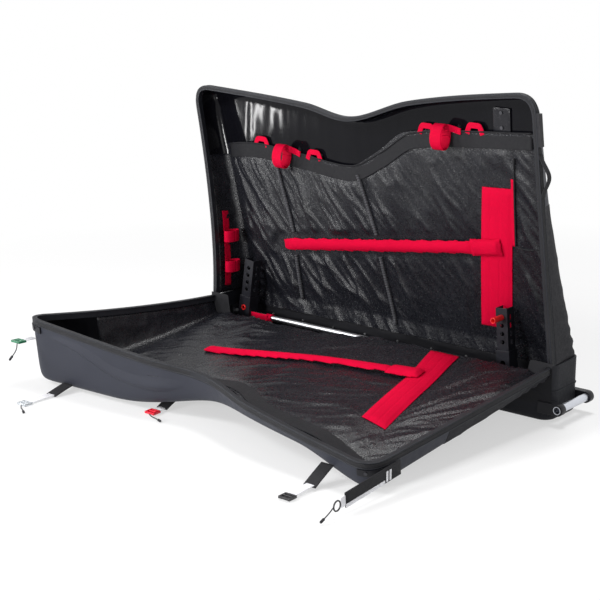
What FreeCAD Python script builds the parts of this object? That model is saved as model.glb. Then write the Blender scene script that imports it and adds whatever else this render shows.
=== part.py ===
import FreeCAD
import Part
import math
import os
import re
from types import SimpleNamespace

Vec = FreeCAD.Vector
Turn = FreeCAD.Rotation
Place = FreeCAD.Placement
ALONG_X = Turn(Vec(0, 1, 0), 90)
ALONG_Y = Turn(Vec(1, 0, 0), -90)

# Driving dimensions, in millimetres and degrees
SIZES = {
    # Base tub
    "base_length": 1200,
    "base_depth": 160,
    "base_top": 157,
    "front_wall_top": 96,
    "base_wall": 5,
    "base_floor": 6,
    "base_corner": 40,
    "base_edge": 14,
    "foot_height": 5,
    "foot_radius": 14,
    "foot_inset": 80,
    "foot_setback": 40,
    # Riveted board on the back wall of the tub
    "board_end_gap": 50,
    "board_height": 50,
    "board_thick": 8,
    "board_top": 112,
    "screw_radius": 3.5,
    "screw_head": 2,
    "screw_pitch": 120,
    # Rail and its blocks
    "rail_radius": 9,
    "rail_wall": 1.5,
    "rail_height": 93.7,
    "rail_y": 5,
    "rail_end_gap": 5,
    "rail_block_length": 16,
    "rail_block_width": 34,
    "rail_block_cover": 8,
    # Grab tube at the right end
    "tube_radius": 11,
    "tube_wall": 2,
    "tube_reach": 24,
    "tube_height": 46,
    "tube_span": 170,
    "holder_width": 22,
    "holder_cover": 5,
    "holder_tail": 34,
    # Wheels at the left end
    "wheel_radius": 38,
    "hub_radius": 25,
    "wheel_width": 24,
    "wheel_offset": 34,
    "wheel_reach": 45,
    "axle_radius": 4,
    "cheek_thick": 4,
    "cheek_rise": 14,
    "wheel_play": 1,
    "running_gap": 0.05,
    # Hinge line and the two halves
    "hinge_height": 160,
    "rear_lean": 1,
    "front_drop": 2.4,
    "rim_gap": 1,
    "left_flare": 148,
    "left_height": 634,
    "slope_x": 271,
    "slope_height": 613,
    "dip_x": 111,
    "dip_height": 589,
    "knee_x": 125,
    "knee_height": 653,
    "right_taper": 58,
    "right_height": 710,
    "left_corner": 75,
    "right_corner": 65,
    "twist_rise": 68,
    "cap_start": 420,
    "cap_side_run": 70,
    "seam": 0.3,
    # Walls of the halves
    "cap_wall": 3,
    "fabric_wall": 5,
    "rim_depth": 18,
    "rim_width": 11,
    "edge_radius": 28,
    "wall_draft": 8,
    "rear_base_depth": 156,
    "rear_left_depth": 78,
    "rear_right_depth": 42,
    "front_hinge_depth": 60,
    "front_end_depth": 36,
    "front_edge_gap": 3.5,
    "floor_gap": 0.5,
    # Linings
    "liner_thick": 2,
    "liner_gap": 4,
    "liner_seat": 0.6,
    "liner_ease": 60,
    "liner_fold": 1.5,
    "fold_pitch": 150,
    "hump_depth": 24,
    "hump_reach": 220,
    "hem_drop": 43,
    "front_liner_start": 7,
    "batten_width": 12,
    "batten_thick": 4,
    "apron_drop": 44,
    "apron_gap": 0.8,
    "apron_thick": 3,
    # Red webbing and pads
    "pad_gap": 0.8,
    "pad_panel_thick": 6,
    "pad_bar_width": 42,
    "pad_bar_thick": 12,
    "cuff_width": 52,
    "cuff_length": 104,
    "cuff_thick": 15,
    "loop_tall": 36,
    "loop_across": 25,
    "loop_band": 4,
    "loop_width": 36,
    "loop_drop": 14,
    "hanger_width": 62,
    "hanger_height": 28,
    "hanger_sink": 8,
    "web_thick": 2.5,
    "wall_gap": 0.35,
    "side_strap_start": 20,
    "side_strap_depth": 44,
    "side_strap_width": 26,
    "side_strap_length": 230,
    "side_loop_tall": 30,
    "side_loop_across": 16,
    # Fittings on the shells
    "plate_width": 56,
    "plate_height": 66,
    "plate_thick": 4,
    "rivet_radius": 4.5,
    "rivet_head": 2.5,
    "guard_thick": 4,
    "guard_width": 18,
    "handle_drop": 264.932,
    "handle_length": 110,
    "handle_rise": 22,
    "handle_thick": 4,
    "handle_width": 16,
    "buckle_length": 30,
    "buckle_width": 34,
    "buckle_thick": 8,
    "buckle_corner": 5,
    "end_buckle_drop": 134.962,
    "end_buckle_length": 84,
    "end_buckle_thick": 9,
    # Closing straps and cord pulls
    "sleeve_width": 38,
    "sleeve_thick": 4,
    "sleeve_length": 80,
    "strap_width": 25,
    "strap_thick": 2,
    "strap_length": 80,
    "seat_reach": 8,
    "low_seat_inset": 90,
    "ring_radius": 12,
    "ring_wire": 4,
    "pull_diameter": 3,
    "bead_length": 16,
    "bead_radius": 3.5,
    # Bike stands
    "post_width": 36,
    "post_depth": 36,
    "post_top": 178,
    "post_travel": 30,
    "post_wall": 3,
    "post_hole_radius": 6,
    "post_hole_pitch": 23,
    "post_hole_top": 26,
    "slot_width": 9,
    "slot_height": 14,
    "left_lean": 8,
    "right_lean": 5,
    "left_stand_inset": 67,
    "right_stand_inset": 185,
    "shoe_drop": 70,
    "shoe_rise": 60,
    "shoe_play": 0.3,
    "rail_clear": 3,
    "bush_height": 24,
    "bush_out": 4,
    "sleeve_wall": 2,
    "sleeve_out": 44,
    "sleeve_in": 14,
    "strap_play": 0.3,
    "rail_strap_run": 70,
    "rail_strap_gap": 3,
    "rail_strap_width": 24,
    # One overrun for every cut
    "overrun": 5,
}

doc = FreeCAD.newDocument("bike_travel_case")
sheet = doc.addObject("Spreadsheet::Sheet", "Size")
for row, (alias, value) in enumerate(SIZES.items(), start=1):
    sheet.set(f"A{row}", alias)
    sheet.set(f"B{row}", str(value))
    sheet.setAlias(f"B{row}", alias)
doc.recompute()
z = SimpleNamespace(**{alias: float(sheet.get(alias)) for alias in SIZES})

nodes = []


def linked(text):
    """Expression on the sheet from a sum of size names."""
    return re.sub(r"[a-z_]{4,}", lambda word: f"Size.{word[0]}" if word[0] in SIZES else word[0], text)


def locate(obj, at, turn=Turn()):
    """Bind an object's place to the sheet, after turning it."""
    obj.Placement = Place(Vec(), turn)
    for axis, text in zip("xyz", at):
        obj.setExpression(f"Placement.Base.{axis}", linked(text))
    return obj


def block(name, size, at):
    """Box from its low corner."""
    obj = doc.addObject("Part::Box", name)
    for prop, text in zip(("Length", "Width", "Height"), size):
        obj.setExpression(prop, linked(text))
    return locate(obj, at)


def rod(name, radius, length, at, turn=Turn()):
    """Cylinder from the centre of its first end."""
    obj = doc.addObject("Part::Cylinder", name)
    obj.setExpression("Radius", linked(radius))
    obj.setExpression("Height", linked(length))
    return locate(obj, at, turn)


def cut(name, base, *tools):
    """Take the tools out of the base, one after another."""
    for count, tool in enumerate(tools):
        step = doc.addObject("Part::Cut", f"{name}_{count}")
        step.Base = base
        step.Tool = tool
        base = step
    return base


def joined(name, *shapes):
    """One solid from pieces that meet or overlap."""
    obj = doc.addObject("Part::MultiFuse", name)
    obj.Shapes = list(shapes)
    obj.Refine = True
    return obj


def group(name, *shapes):
    """Separate solids that share a node."""
    obj = doc.addObject("Part::Compound", name)
    obj.Links = list(shapes)
    return obj


def rounded(name, base, radius, picks):
    """Fillet the edges of a box whose middle passes a test."""
    doc.recompute()
    obj = doc.addObject("Part::Fillet", name)
    obj.Base = base
    edges = enumerate(base.Shape.Edges, start=1)
    obj.Edges = [(number, radius, radius) for number, edge in edges if picks(edge)]
    return obj


def keep(obj, label):
    """Name a finished piece and put it on the list to write."""
    obj.Label = label
    nodes.append(obj)
    return obj


def formed(label, shape, place=Place()):
    """Piece whose shape is worked out by formula."""
    obj = doc.addObject("Part::Feature", label)
    obj.Shape = shape
    obj.Placement = place
    return keep(obj, label)


def upright(edge):
    """True for an edge along Z."""
    ends = [vertex.Point for vertex in edge.Vertexes]
    return abs(ends[0].z - ends[1].z) > abs(ends[0].x - ends[1].x) + abs(ends[0].y - ends[1].y)


# Outline of the mating rims, in the plane of the closed case: x along the hinge, h above it

HINGE_Y = -z.base_depth / 2
HALF_LENGTH = z.base_length / 2
LEFT_TOP = -HALF_LENGTH - z.left_flare
RIGHT_TOP = HALF_LENGTH - z.right_taper
FLARE_POWER = 1.6
TOP_KNOTS = (
    (LEFT_TOP, z.left_height),
    (-z.slope_x, z.slope_height),
    (-z.dip_x, z.dip_height),
    (z.knee_x, z.knee_height),
    (RIGHT_TOP, z.right_height),
)
TOP_SLOPES = (-0.04, -0.075, 0.0, 0.2, 0.11)
REAR_PLACE = Place(Vec(0, HINGE_Y, z.hinge_height), Turn(Vec(1, 0, 0), -z.rear_lean))
FRONT_PLACE = Place(Vec(0, HINGE_Y, z.hinge_height), Turn(Vec(1, 0, 0), 90 + z.front_drop))
REAR = SimpleNamespace(side=1, place=REAR_PLACE)
FRONT = SimpleNamespace(side=-1, place=FRONT_PLACE)


def spread(low, high, count):
    """Evenly spaced values from low to high."""
    return [low + (high - low) * step / (count - 1) for step in range(count)]


def smooth(share):
    """Ease from 0 to 1 with level ends."""
    share = min(max(share, 0), 1)
    return share * share * (3 - 2 * share)


def left_edge(h):
    """x of the left edge at a height."""
    return -HALF_LENGTH - z.left_flare * (max(h, 0) / z.left_height) ** FLARE_POWER


def right_edge(h):
    """x of the right edge at a height."""
    return HALF_LENGTH - z.right_taper * max(h, 0) / z.right_height


def top_edge(x):
    """Height of the top edge at x, with its saddle dip."""
    x = min(max(x, LEFT_TOP), RIGHT_TOP)
    last = len(TOP_KNOTS) - 2
    piece = max(index for index in range(last + 1) if index == 0 or x >= TOP_KNOTS[index][0])
    (x0, h0), (x1, h1) = TOP_KNOTS[piece:piece + 2]
    run = x1 - x0
    u = (x - x0) / run
    rise = smooth(u)
    bend = (u ** 3 - 2 * u * u + u) * TOP_SLOPES[piece] + (u ** 3 - u * u) * TOP_SLOPES[piece + 1]
    return h0 + (h1 - h0) * rise + run * bend


def twist(x, h):
    """How far the mating surface leaves its plane."""
    return z.twist_rise * (x / LEFT_TOP) * (h / z.left_height)


def spot(half, x, h, depth):
    """Point of a half, depth away from the mating surface."""
    return Vec(x, twist(x, h) + half.side * depth, h)


def floor_depth(x, h):
    """Depth at which the open front half reaches the floor."""
    drop = math.radians(z.front_drop)
    height = z.hinge_height - z.floor_gap - h * math.sin(drop)
    return height / math.cos(drop) + twist(x, h)


DIP_DEPTH_SHARE = 0.37
DEEP_END_SHARE = 0.7
SHALLOW_START_SHARE = 0.21
SHALLOW_END_SHARE = 0.5
CORNER_START_SHARE = 0.87
REAR_TAPER_POWER = 1.5


def front_depth(x, h):
    """Depth of the front half's outer skin: deep at the left, shallow at the dip."""
    dive = smooth((x / HALF_LENGTH + DEEP_END_SHARE) / (DEEP_END_SHARE + SHALLOW_START_SHARE))
    climb = smooth((x / HALF_LENGTH - SHALLOW_END_SHARE) / (CORNER_START_SHARE - SHALLOW_END_SHARE))
    share = 1 - (1 - DIP_DEPTH_SHARE) * (dive - climb)
    top = floor_depth(x, top_edge(x)) * share
    hinge = z.front_hinge_depth + (z.front_end_depth - z.front_hinge_depth) * smooth(x / HALF_LENGTH)
    return hinge + (top - hinge) * max(h, 0) / top_edge(x)


def rear_depth(x, h):
    """Depth of the rear half's outer skin: thick at the base, thin at the top."""
    along = (x - LEFT_TOP) / (RIGHT_TOP - LEFT_TOP)
    top = z.rear_left_depth + (z.rear_right_depth - z.rear_left_depth) * along
    fall = max(1 - max(h, 0) / top_edge(x), 0) ** REAR_TAPER_POWER
    return top + (z.rear_base_depth - top) * fall


REAR.depth = rear_depth
FRONT.depth = front_depth


def station(x, h, angle):
    """Point of the rim with its inward direction."""
    turn = math.radians(angle)
    return SimpleNamespace(x=x, h=h, nx=math.cos(turn), nh=math.sin(turn))


def bend_point(start, corner, end, share):
    """Point on a rounded corner."""
    back = 1 - share
    return [back * back * a + 2 * back * share * c + share * share * b for a, c, b in zip(start, corner, end)]


EDGE_STEPS = 9
TOP_STEPS = 22
CORNER_STEPS = 6


def rim_path(start):
    """Stations from the left edge at a height, over the top, to the right edge."""
    left_end = z.left_height - z.left_corner
    right_end = z.right_height - z.right_corner
    top_left = LEFT_TOP + z.left_corner
    top_right = RIGHT_TOP - z.right_corner
    path = [station(left_edge(h), h, 0) for h in spread(start, left_end, EDGE_STEPS)]
    ends = (left_edge(left_end), left_end), (LEFT_TOP, z.left_height), (top_left, top_edge(top_left))
    for share in spread(0, 1, CORNER_STEPS)[1:-1]:
        path.append(station(*bend_point(*ends, share), -90 * share))
    path += [station(x, top_edge(x), -90) for x in spread(top_left, top_right, TOP_STEPS)]
    ends = (top_right, top_edge(top_right)), (RIGHT_TOP, z.right_height), (right_edge(right_end), right_end)
    for share in spread(0, 1, CORNER_STEPS)[1:-1]:
        path.append(station(*bend_point(*ends, share), -90 - 90 * share))
    path += [station(right_edge(h), h, -180) for h in spread(right_end, start, EDGE_STEPS)]
    return path


SKIN_DEGREE = 2


def knots(count):
    """Degree, knots and multiplicities of an open even spline."""
    degree = min(SKIN_DEGREE, count - 1)
    places = list(range(count - degree + 1))
    repeats = [degree + 1] + [1] * (len(places) - 2) + [degree + 1]
    return degree, places, repeats


def skin(grid):
    """Smooth surface drawn along a grid of points."""
    u_degree, u_knots, u_repeats = knots(len(grid))
    v_degree, v_knots, v_repeats = knots(len(grid[0]))
    surface = Part.BSplineSurface()
    surface.buildFromPolesMultsKnots(
        grid, u_repeats, v_repeats, u_knots, v_knots, False, False, u_degree, v_degree)
    return surface


def slab(outer, inner):
    """Closed solid between two grids with the same rows and columns."""
    grids = [outer, inner]
    for end in (0, -1):
        grids.append([outer[end], inner[end]])
        grids.append([[row[end] for row in outer], [row[end] for row in inner]])
    sewn = Part.Compound([skin(grid).toShape() for grid in grids])
    sewn.sewShape()
    solid = Part.Solid(Part.Shell(sewn.Faces))
    if solid.Volume < 0:
        solid.reverse()
    return solid


ROUND_SHARE = 1 - math.sqrt(0.5)
RADIUS_SHARE = 0.45
RIM_BACK = z.rim_depth + z.rim_gap / 2 + z.seam


def wall_profile(depth, wall):
    """Inset and depth of a wall from rim to panel, outside and inside."""
    radius = min(z.edge_radius, RADIUS_SHARE * (depth - RIM_BACK))
    flat = depth - radius
    middle = (RIM_BACK + flat) / 2
    inner = radius - wall
    outside = (
        (0, RIM_BACK),
        (z.wall_draft / 2, middle),
        (z.wall_draft, flat),
        (z.wall_draft + ROUND_SHARE * radius, depth - ROUND_SHARE * radius),
        (z.wall_draft + radius, depth),
    )
    inside = (
        (wall, RIM_BACK),
        (z.wall_draft / 2 + wall, middle),
        (z.wall_draft + wall, flat),
        (z.wall_draft + wall + ROUND_SHARE * inner, depth - wall - ROUND_SHARE * inner),
        (z.wall_draft + radius, depth - wall),
    )
    return outside, inside


def edge_depth(half, at):
    """Depth of a half's panel just inside a rim station."""
    inset = z.wall_draft + z.edge_radius
    return half.depth(at.x + at.nx * inset, at.h + at.nh * inset)


def wall_points(half, at, profile):
    """Profile points carried to a rim station."""
    return [spot(half, at.x + at.nx * inset, at.h + at.nh * inset, depth) for inset, depth in profile]


CAP_PANEL_SHARES = (0.35, 0.7, 1.0)
CAP_FLANGE_SHARE = 1.5


def cap_solid(half):
    """Hard upper shell: walls, rounded corners and the top of the panel in one skin."""
    start = z.cap_start + z.seam / 2
    reach = z.wall_draft + CAP_FLANGE_SHARE * z.edge_radius
    low = left_edge(start) + reach
    high = right_edge(start) - reach
    side_steps = EDGE_STEPS + CORNER_STEPS - 1
    left_feet = spread(low, low + z.cap_side_run, side_steps)[:-1]
    top_feet = spread(low + z.cap_side_run, high - z.cap_side_run, TOP_STEPS)
    right_feet = spread(high - z.cap_side_run, high, side_steps)[1:]
    outer = []
    inner = []
    for at, foot in zip(rim_path(start), left_feet + top_feet + right_feet):
        outside, inside = wall_profile(edge_depth(half, at), z.cap_wall)
        outer_row = wall_points(half, at, outside)
        inner_row = wall_points(half, at, inside)
        edge = outer_row[-1]
        for share in CAP_PANEL_SHARES:
            x = edge.x + (foot - edge.x) * share
            h = edge.z + (start - edge.z) * share
            outer_row.append(spot(half, x, h, half.depth(x, h)))
            inner_row.append(spot(half, x, h, half.depth(x, h) - z.cap_wall))
        outer.append(outer_row)
        inner.append(inner_row)
    return slab(outer, inner)


FABRIC_ROWS = 7
FABRIC_PANEL_STEPS = 11


def fabric_solid(half, start):
    """Soft lower shell: two end walls and the panel between them."""
    outer = []
    inner = []
    for h in spread(start, z.cap_start - z.seam / 2, FABRIC_ROWS):
        left = station(left_edge(h), h, 0)
        right = station(right_edge(h), h, -180)
        left_outside, left_inside = wall_profile(edge_depth(half, left), z.fabric_wall)
        right_outside, right_inside = wall_profile(edge_depth(half, right), z.fabric_wall)
        outer_row = wall_points(half, left, left_outside)
        inner_row = wall_points(half, left, left_inside)
        outer_end = wall_points(half, right, right_outside)[::-1]
        inner_end = wall_points(half, right, right_inside)[::-1]
        for x in spread(outer_row[-1].x, outer_end[0].x, FABRIC_PANEL_STEPS)[1:-1]:
            outer_row.append(spot(half, x, h, half.depth(x, h)))
            inner_row.append(spot(half, x, h, half.depth(x, h) - z.fabric_wall))
        outer.append(outer_row + outer_end)
        inner.append(inner_row + inner_end)
    return slab(outer, inner)


def band(half, path, insets, depths):
    """Strip along part of the rim between two insets, over a row of depths."""
    grids = []
    for inset in insets:
        rows = [[spot(half, at.x + at.nx * inset(at, depth), at.h + at.nh * inset(at, depth), depth)
                 for depth in depths] for at in path]
        grids.append(rows)
    return slab(*grids)


def rim_solid(half, start):
    """Zip rim round the opening, over the edge of the walls."""
    depths = spread(z.rim_gap / 2, z.rim_gap / 2 + z.rim_depth, 3)
    return band(half, rim_path(start), (lambda at, depth: 0, lambda at, depth: z.rim_width), depths)


formed("rear_cap", cap_solid(REAR), REAR.place)
formed("rear_fabric", fabric_solid(REAR, z.seam), REAR.place)
formed("rear_rim", rim_solid(REAR, z.seam), REAR.place)
front_cap = formed("front_cap", cap_solid(FRONT), FRONT.place)
front_fabric = formed("front_fabric", fabric_solid(FRONT, z.front_edge_gap), FRONT.place)
formed("front_rim", rim_solid(FRONT, z.front_edge_gap), FRONT.place)

# Base tub, its feet and the board on its back wall


def lowest(edge):
    """True for an edge round the underside of the tub."""
    return max(vertex.Z for vertex in edge.Vertexes) < z.foot_height + z.seam


tub_block = block(
    "tub_block",
    ("base_length", "base_depth", "base_top - foot_height"),
    ("-base_length / 2", "-base_depth / 2", "foot_height"))
tub_corners = rounded("tub_corners", tub_block, z.base_corner, upright)
tub_outline = rounded("tub_outline", tub_corners, z.base_edge, lowest)
tub_room = block(
    "tub_room",
    ("base_length - 2 * base_wall", "base_depth - 2 * base_wall", "base_top"),
    ("base_wall - base_length / 2", "base_wall - base_depth / 2", "foot_height + base_floor"))
tub_cavity = rounded("tub_cavity", tub_room, z.base_corner - z.base_wall, upright)
tub_front = block(
    "tub_front",
    ("base_length - 2 * base_corner", "base_wall + 2 * overrun", "base_top"),
    ("base_corner - base_length / 2", "-base_depth / 2 - overrun", "front_wall_top"))
keep(cut("tub", tub_outline, tub_cavity, tub_front), "base_tub")

feet = [rod("foot_middle", "foot_radius", "foot_height", ("0", "0", "0"))]
for side in ("-", ""):
    for row in ("-", ""):
        at = (f"{side}(base_length / 2 - foot_inset)", f"{row}(base_depth / 2 - foot_setback)", "0")
        feet.append(rod("foot", "foot_radius", "foot_height", at))
keep(group("feet", *feet), "base_feet")

board = block(
    "board",
    ("base_length - 2 * board_end_gap", "board_thick", "board_height"),
    (
        "board_end_gap - base_length / 2",
        "base_depth / 2 - base_wall - seam - board_thick",
        "board_top - board_height"))
keep(board, "rivet_board")
screws = []
screw_count = int((z.base_length - 2 * z.board_end_gap) // z.screw_pitch)
for index in range(screw_count):
    at = (
        f"screw_pitch * {index - (screw_count - 1) / 2}",
        "base_depth / 2 - base_wall - seam - board_thick - screw_head",
        "board_top - board_height / 2")
    screws.append(rod("screw", "screw_radius", "screw_head", at, ALONG_Y))
keep(group("screws", *screws), "board_screws")

# Rail for the bike stands and the blocks that carry it
rail_at = ("-base_length / 2 + base_wall + rail_end_gap", "rail_y", "rail_height")
rail_run = "base_length - 2 * base_wall - 2 * rail_end_gap"
rail_outside = rod("rail_outside", "rail_radius", rail_run, rail_at, ALONG_X)
rail_inside = rod("rail_inside", "rail_radius - rail_wall", rail_run, rail_at, ALONG_X)
keep(cut("rail_tube", rail_outside, rail_inside), "rail")
rail_sockets = []
socket_starts = {
    "left": "base_wall - base_length / 2",
    "right": "base_length / 2 - base_wall - rail_block_length",
}
for side, start in socket_starts.items():
    rise = "rail_height + rail_radius + rail_block_cover - foot_height - base_floor"
    body = block(
        f"socket_{side}",
        ("rail_block_length", "rail_block_width", rise),
        (start, "rail_y - rail_block_width / 2", "foot_height + base_floor"))
    bore_at = ("-base_length / 2", "rail_y", "rail_height")
    bore = rod(f"socket_bore_{side}", "rail_radius + running_gap", "base_length", bore_at, ALONG_X)
    rail_sockets.append(cut(f"socket_cut_{side}", body, bore))
keep(group("sockets", *rail_sockets), "rail_blocks")

# Grab tube at the right end, in two lugs
tube_x = "base_length / 2 + tube_reach"
tube_at = (tube_x, "-tube_span / 2", "tube_height")
tube_outside = rod("tube_outside", "tube_radius", "tube_span", tube_at, ALONG_Y)
tube_inside = rod("tube_inside", "tube_radius - tube_wall", "tube_span", tube_at, ALONG_Y)
keep(cut("tube", tube_outside, tube_inside), "grab_tube")
lugs = []
for side, start in (("front", "-tube_span / 2"), ("back", "tube_span / 2 - holder_width")):
    nose_at = (tube_x, start, "tube_height")
    nose = rod(f"lug_nose_{side}", "tube_radius + holder_cover", "holder_width", nose_at, ALONG_Y)
    tail = block(
        f"lug_tail_{side}",
        ("tube_reach + holder_tail", "holder_width", "2 * (tube_radius + holder_cover)"),
        ("base_length / 2 - holder_tail", start, "tube_height - tube_radius - holder_cover"))
    bore_at = (tube_x, f"{start} - overrun", "tube_height")
    bore_run = "holder_width + 2 * overrun"
    bore = rod(f"lug_bore_{side}", "tube_radius + running_gap", bore_run, bore_at, ALONG_Y)
    lugs.append(cut(f"lug_{side}", joined(f"lug_body_{side}", nose, tail), bore, tub_outline))
keep(group("lugs", *lugs), "grab_holders")

# Wheels at the left end
wheel_x = "-base_length / 2 - wheel_reach"
brackets = []
pins = []
for name, side in (("front", "-"), ("rear", "")):
    middle = f"({side}wheel_offset)"
    fork = "(wheel_width / 2 + wheel_play)"
    cheeks = []
    for end, inner in (("low", f"{middle} - {fork} - cheek_thick"), ("high", f"{middle} + {fork}")):
        arm = block(
            f"arm_{name}_{end}",
            ("wheel_reach + base_corner", "cheek_thick", "2 * cheek_rise"),
            (wheel_x, inner, "wheel_radius - cheek_rise"))
        tip = rod(f"tip_{name}_{end}", "cheek_rise", "cheek_thick", (wheel_x, inner, "wheel_radius"), ALONG_Y)
        cheeks += [arm, tip]
    web = block(
        f"web_{name}",
        ("base_corner", f"2 * {fork}", "2 * cheek_rise"),
        ("-base_length / 2 - cheek_thick", f"{middle} - {fork}", "wheel_radius - cheek_rise"))
    pin_at = (wheel_x, f"{middle} - {fork} - cheek_thick", "wheel_radius")
    pin_run = f"2 * ({fork} + cheek_thick)"
    bore = rod(f"fork_bore_{name}", "axle_radius + running_gap", pin_run, pin_at, ALONG_Y)
    brackets.append(cut(f"fork_{name}", joined(f"fork_body_{name}", web, *cheeks), bore, tub_outline))
    pins.append(rod(f"pin_{name}", "axle_radius", pin_run, pin_at, ALONG_Y))
    rim_at = (wheel_x, f"{middle} - wheel_width / 2", "wheel_radius")
    hub_bore = rod(f"hub_bore_{name}", "axle_radius + running_gap", "wheel_width", rim_at, ALONG_Y)
    hub = rod(f"hub_{name}", "hub_radius", "wheel_width", rim_at, ALONG_Y)
    keep(cut(f"hub_cut_{name}", hub, hub_bore), f"wheel_hub_{name}")
    tyre_bore = rod(f"tyre_bore_{name}", "hub_radius + running_gap", "wheel_width", rim_at, ALONG_Y)
    tyre = rod(f"tyre_{name}", "wheel_radius", "wheel_width", rim_at, ALONG_Y)
    keep(cut(f"tyre_cut_{name}", tyre, tyre_bore), f"wheel_tyre_{name}")
keep(group("forks", *brackets), "wheel_brackets")
keep(group("pins", *pins), "wheel_axles")

# Bike stands: each has a shoe that slides on the rail and a post that slides in the shoe
POST_HOLES = 4


def stand(name, side, lean, sleeve_on_post):
    """One stand, drawn upright round the rail and then leaned over."""
    turn = Turn(Vec(0, 1, 0), lean)
    stand_x = f"{side}(base_length / 2 - {name}_stand_inset)"
    at = (stand_x, "rail_y", "rail_height")
    half_depth = "post_depth / 2"
    shoe_skin = "(shoe_play + post_wall)"
    body = block(
        f"shoe_body_{name}",
        (f"post_width + 2 * {shoe_skin}", f"post_depth + 2 * {shoe_skin}", "shoe_drop + shoe_rise"),
        (f"-post_width / 2 - {shoe_skin}", f"-{half_depth} - {shoe_skin}", "-shoe_drop"))
    room = block(
        f"shoe_room_{name}",
        ("post_width + 2 * shoe_play", "post_depth + 2 * shoe_play", "shoe_rise"),
        ("-post_width / 2 - shoe_play", f"-{half_depth} - shoe_play", "rail_radius + rail_clear"))
    bore = rod(f"shoe_bore_{name}", "rail_radius + running_gap", "4 * post_width", ("0", "0", "0"))
    reach = 2 * z.post_width
    bore.Placement = Place(Vec(), turn.inverted()).multiply(Place(Vec(-reach, 0, 0), ALONG_X))
    for axis in "xyz":
        bore.setExpression(f"Placement.Base.{axis}", None)
    front = f"-{half_depth} - {shoe_skin} - overrun"
    bush_at = ("0", front, "bush_height")
    bush_radius = "post_hole_radius + sleeve_wall + running_gap"
    bush = rod(f"bush_hole_{name}", bush_radius, "post_wall + 2 * overrun", bush_at, ALONG_Y)
    shoe = cut(f"shoe_{name}", body, room, bore, bush)
    keep(locate(shoe, at, turn), f"stand_shoe_{name}")

    foot = "rail_radius + rail_clear + shoe_play + post_travel"
    channel = block(
        f"post_body_{name}",
        ("post_width", "post_depth", f"post_top - ({foot})"),
        ("-post_width / 2", f"-{half_depth}", foot))
    hollow = block(
        f"post_hollow_{name}",
        ("post_width - 2 * post_wall", "post_depth", "post_top"),
        ("post_wall - post_width / 2", f"post_wall - {half_depth}", f"{foot} - post_wall"))
    tools = [hollow]
    for index in range(POST_HOLES):
        height = f"post_top - post_hole_top - {index} * post_hole_pitch"
        radius = bush_radius if sleeve_on_post and index == 0 else "post_hole_radius"
        hole_at = ("0", f"-{half_depth} - overrun", height)
        tools.append(rod(f"hole_{name}_{index}", radius, "post_wall + 2 * overrun", hole_at, ALONG_Y))
        slot_at = ("-post_width", "-slot_width / 2", f"{height} - slot_height / 2")
        tools.append(block(f"slot_{name}_{index}", ("2 * post_width", "slot_width", "slot_height"), slot_at))
    post = cut(f"post_{name}", channel, *tools)
    keep(locate(post, at, turn), f"stand_post_{name}")

    if sleeve_on_post:
        start = f"-{half_depth} - sleeve_out"
        height = "post_top - post_hole_top"
    else:
        start = f"-{half_depth} - {shoe_skin} - bush_out"
        height = "bush_height"
    run = "sleeve_out + sleeve_in" if sleeve_on_post else "bush_out + post_wall"
    sleeve_at = ("0", start, height)
    outside = rod(f"sleeve_outside_{name}", "post_hole_radius + sleeve_wall", run, sleeve_at, ALONG_Y)
    inside = rod(f"sleeve_inside_{name}", "post_hole_radius", run, sleeve_at, ALONG_Y)
    keep(locate(cut(f"sleeve_{name}", outside, inside), at, turn), f"axle_sleeve_{name}")

    ring_gap = "(rail_radius + strap_play)"
    inward = 1 if side else -1
    side_gap = f"post_width / 2 + {shoe_skin} + rail_strap_gap"
    tail_start = side_gap if side else f"-({side_gap}) - rail_strap_run"
    ring_middle = f"{inward} * (post_width / 2 + {shoe_skin} + rail_strap_run)"
    ring_start = f"{stand_x} + {ring_middle} - rail_strap_width / 2"
    ring_at = (ring_start, "rail_y", "rail_height")
    band_radius = f"{ring_gap} + web_thick"
    band_outside = rod(f"band_outside_{name}", band_radius, "rail_strap_width", ring_at, ALONG_X)
    band_inside = rod(f"band_inside_{name}", ring_gap, "rail_strap_width", ring_at, ALONG_X)
    tail_at = (
        f"{stand_x} + {tail_start}",
        f"rail_y - {ring_gap} - web_thick",
        "rail_height - rail_strap_width / 2")
    tail = block(f"strap_tail_{name}", ("rail_strap_run", "web_thick", "rail_strap_width"), tail_at)
    rail_loop = joined(f"rail_loop_{name}", band_outside, tail)
    keep(cut(f"rail_band_{name}", rail_loop, band_inside), f"rail_strap_{name}")


stand("left", "-", z.left_lean, False)
stand("right", "", -z.right_lean, True)

# Apron of the fabric hinge, from the tub's front wall up to the edge of the front half
APRON_COLUMNS = 13
APRON_ROWS = 3
apron_back = []
apron_front = []
for x in spread(z.base_corner - HALF_LENGTH, HALF_LENGTH - z.base_corner, APRON_COLUMNS):
    below = Part.Vertex(Vec(x, HINGE_Y - z.seam - z.apron_thick / 2, z.foot_height))
    edge = front_fabric.Shape.distToShape(below)[1][0][0]
    top = edge.z - z.apron_gap
    heights = spread(z.front_wall_top - z.apron_drop, top, APRON_ROWS)
    apron_back.append([Vec(x, HINGE_Y - z.seam, height) for height in heights])
    apron_front.append([point - Vec(0, z.apron_thick, 0) for point in apron_back[-1]])
formed("hinge_apron", slab(apron_back, apron_front))

# Linings, with a hem that follows the saddle of the top edge
REAR.hem_shares = (
    (-1.24, 0.683), (-0.898, 0.737), (-0.518, 0.718), (-0.197, 0.702),
    (-0.008, 0.785), (0.183, 0.888), (0.863, 0.951))
FRONT.hem_shares = (
    (-1.24, 0.683), (-0.898, 0.737), (-0.518, 0.718), (-0.25, 0.735),
    (-0.05, 0.81), (0.18, 0.945), (0.863, 1.03))
FOLD_START_SHARE = -1.0
FOLD_END_SHARE = 0.35
FOLD_EASE_SHARE = 0.12
FOLD_SLANT_SHARE = 0.35
HUMP_START_SHARE = -0.58
HUMP_END_SHARE = 0.17
LINING_COLUMNS = 45
LINING_ROWS = 9


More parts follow.
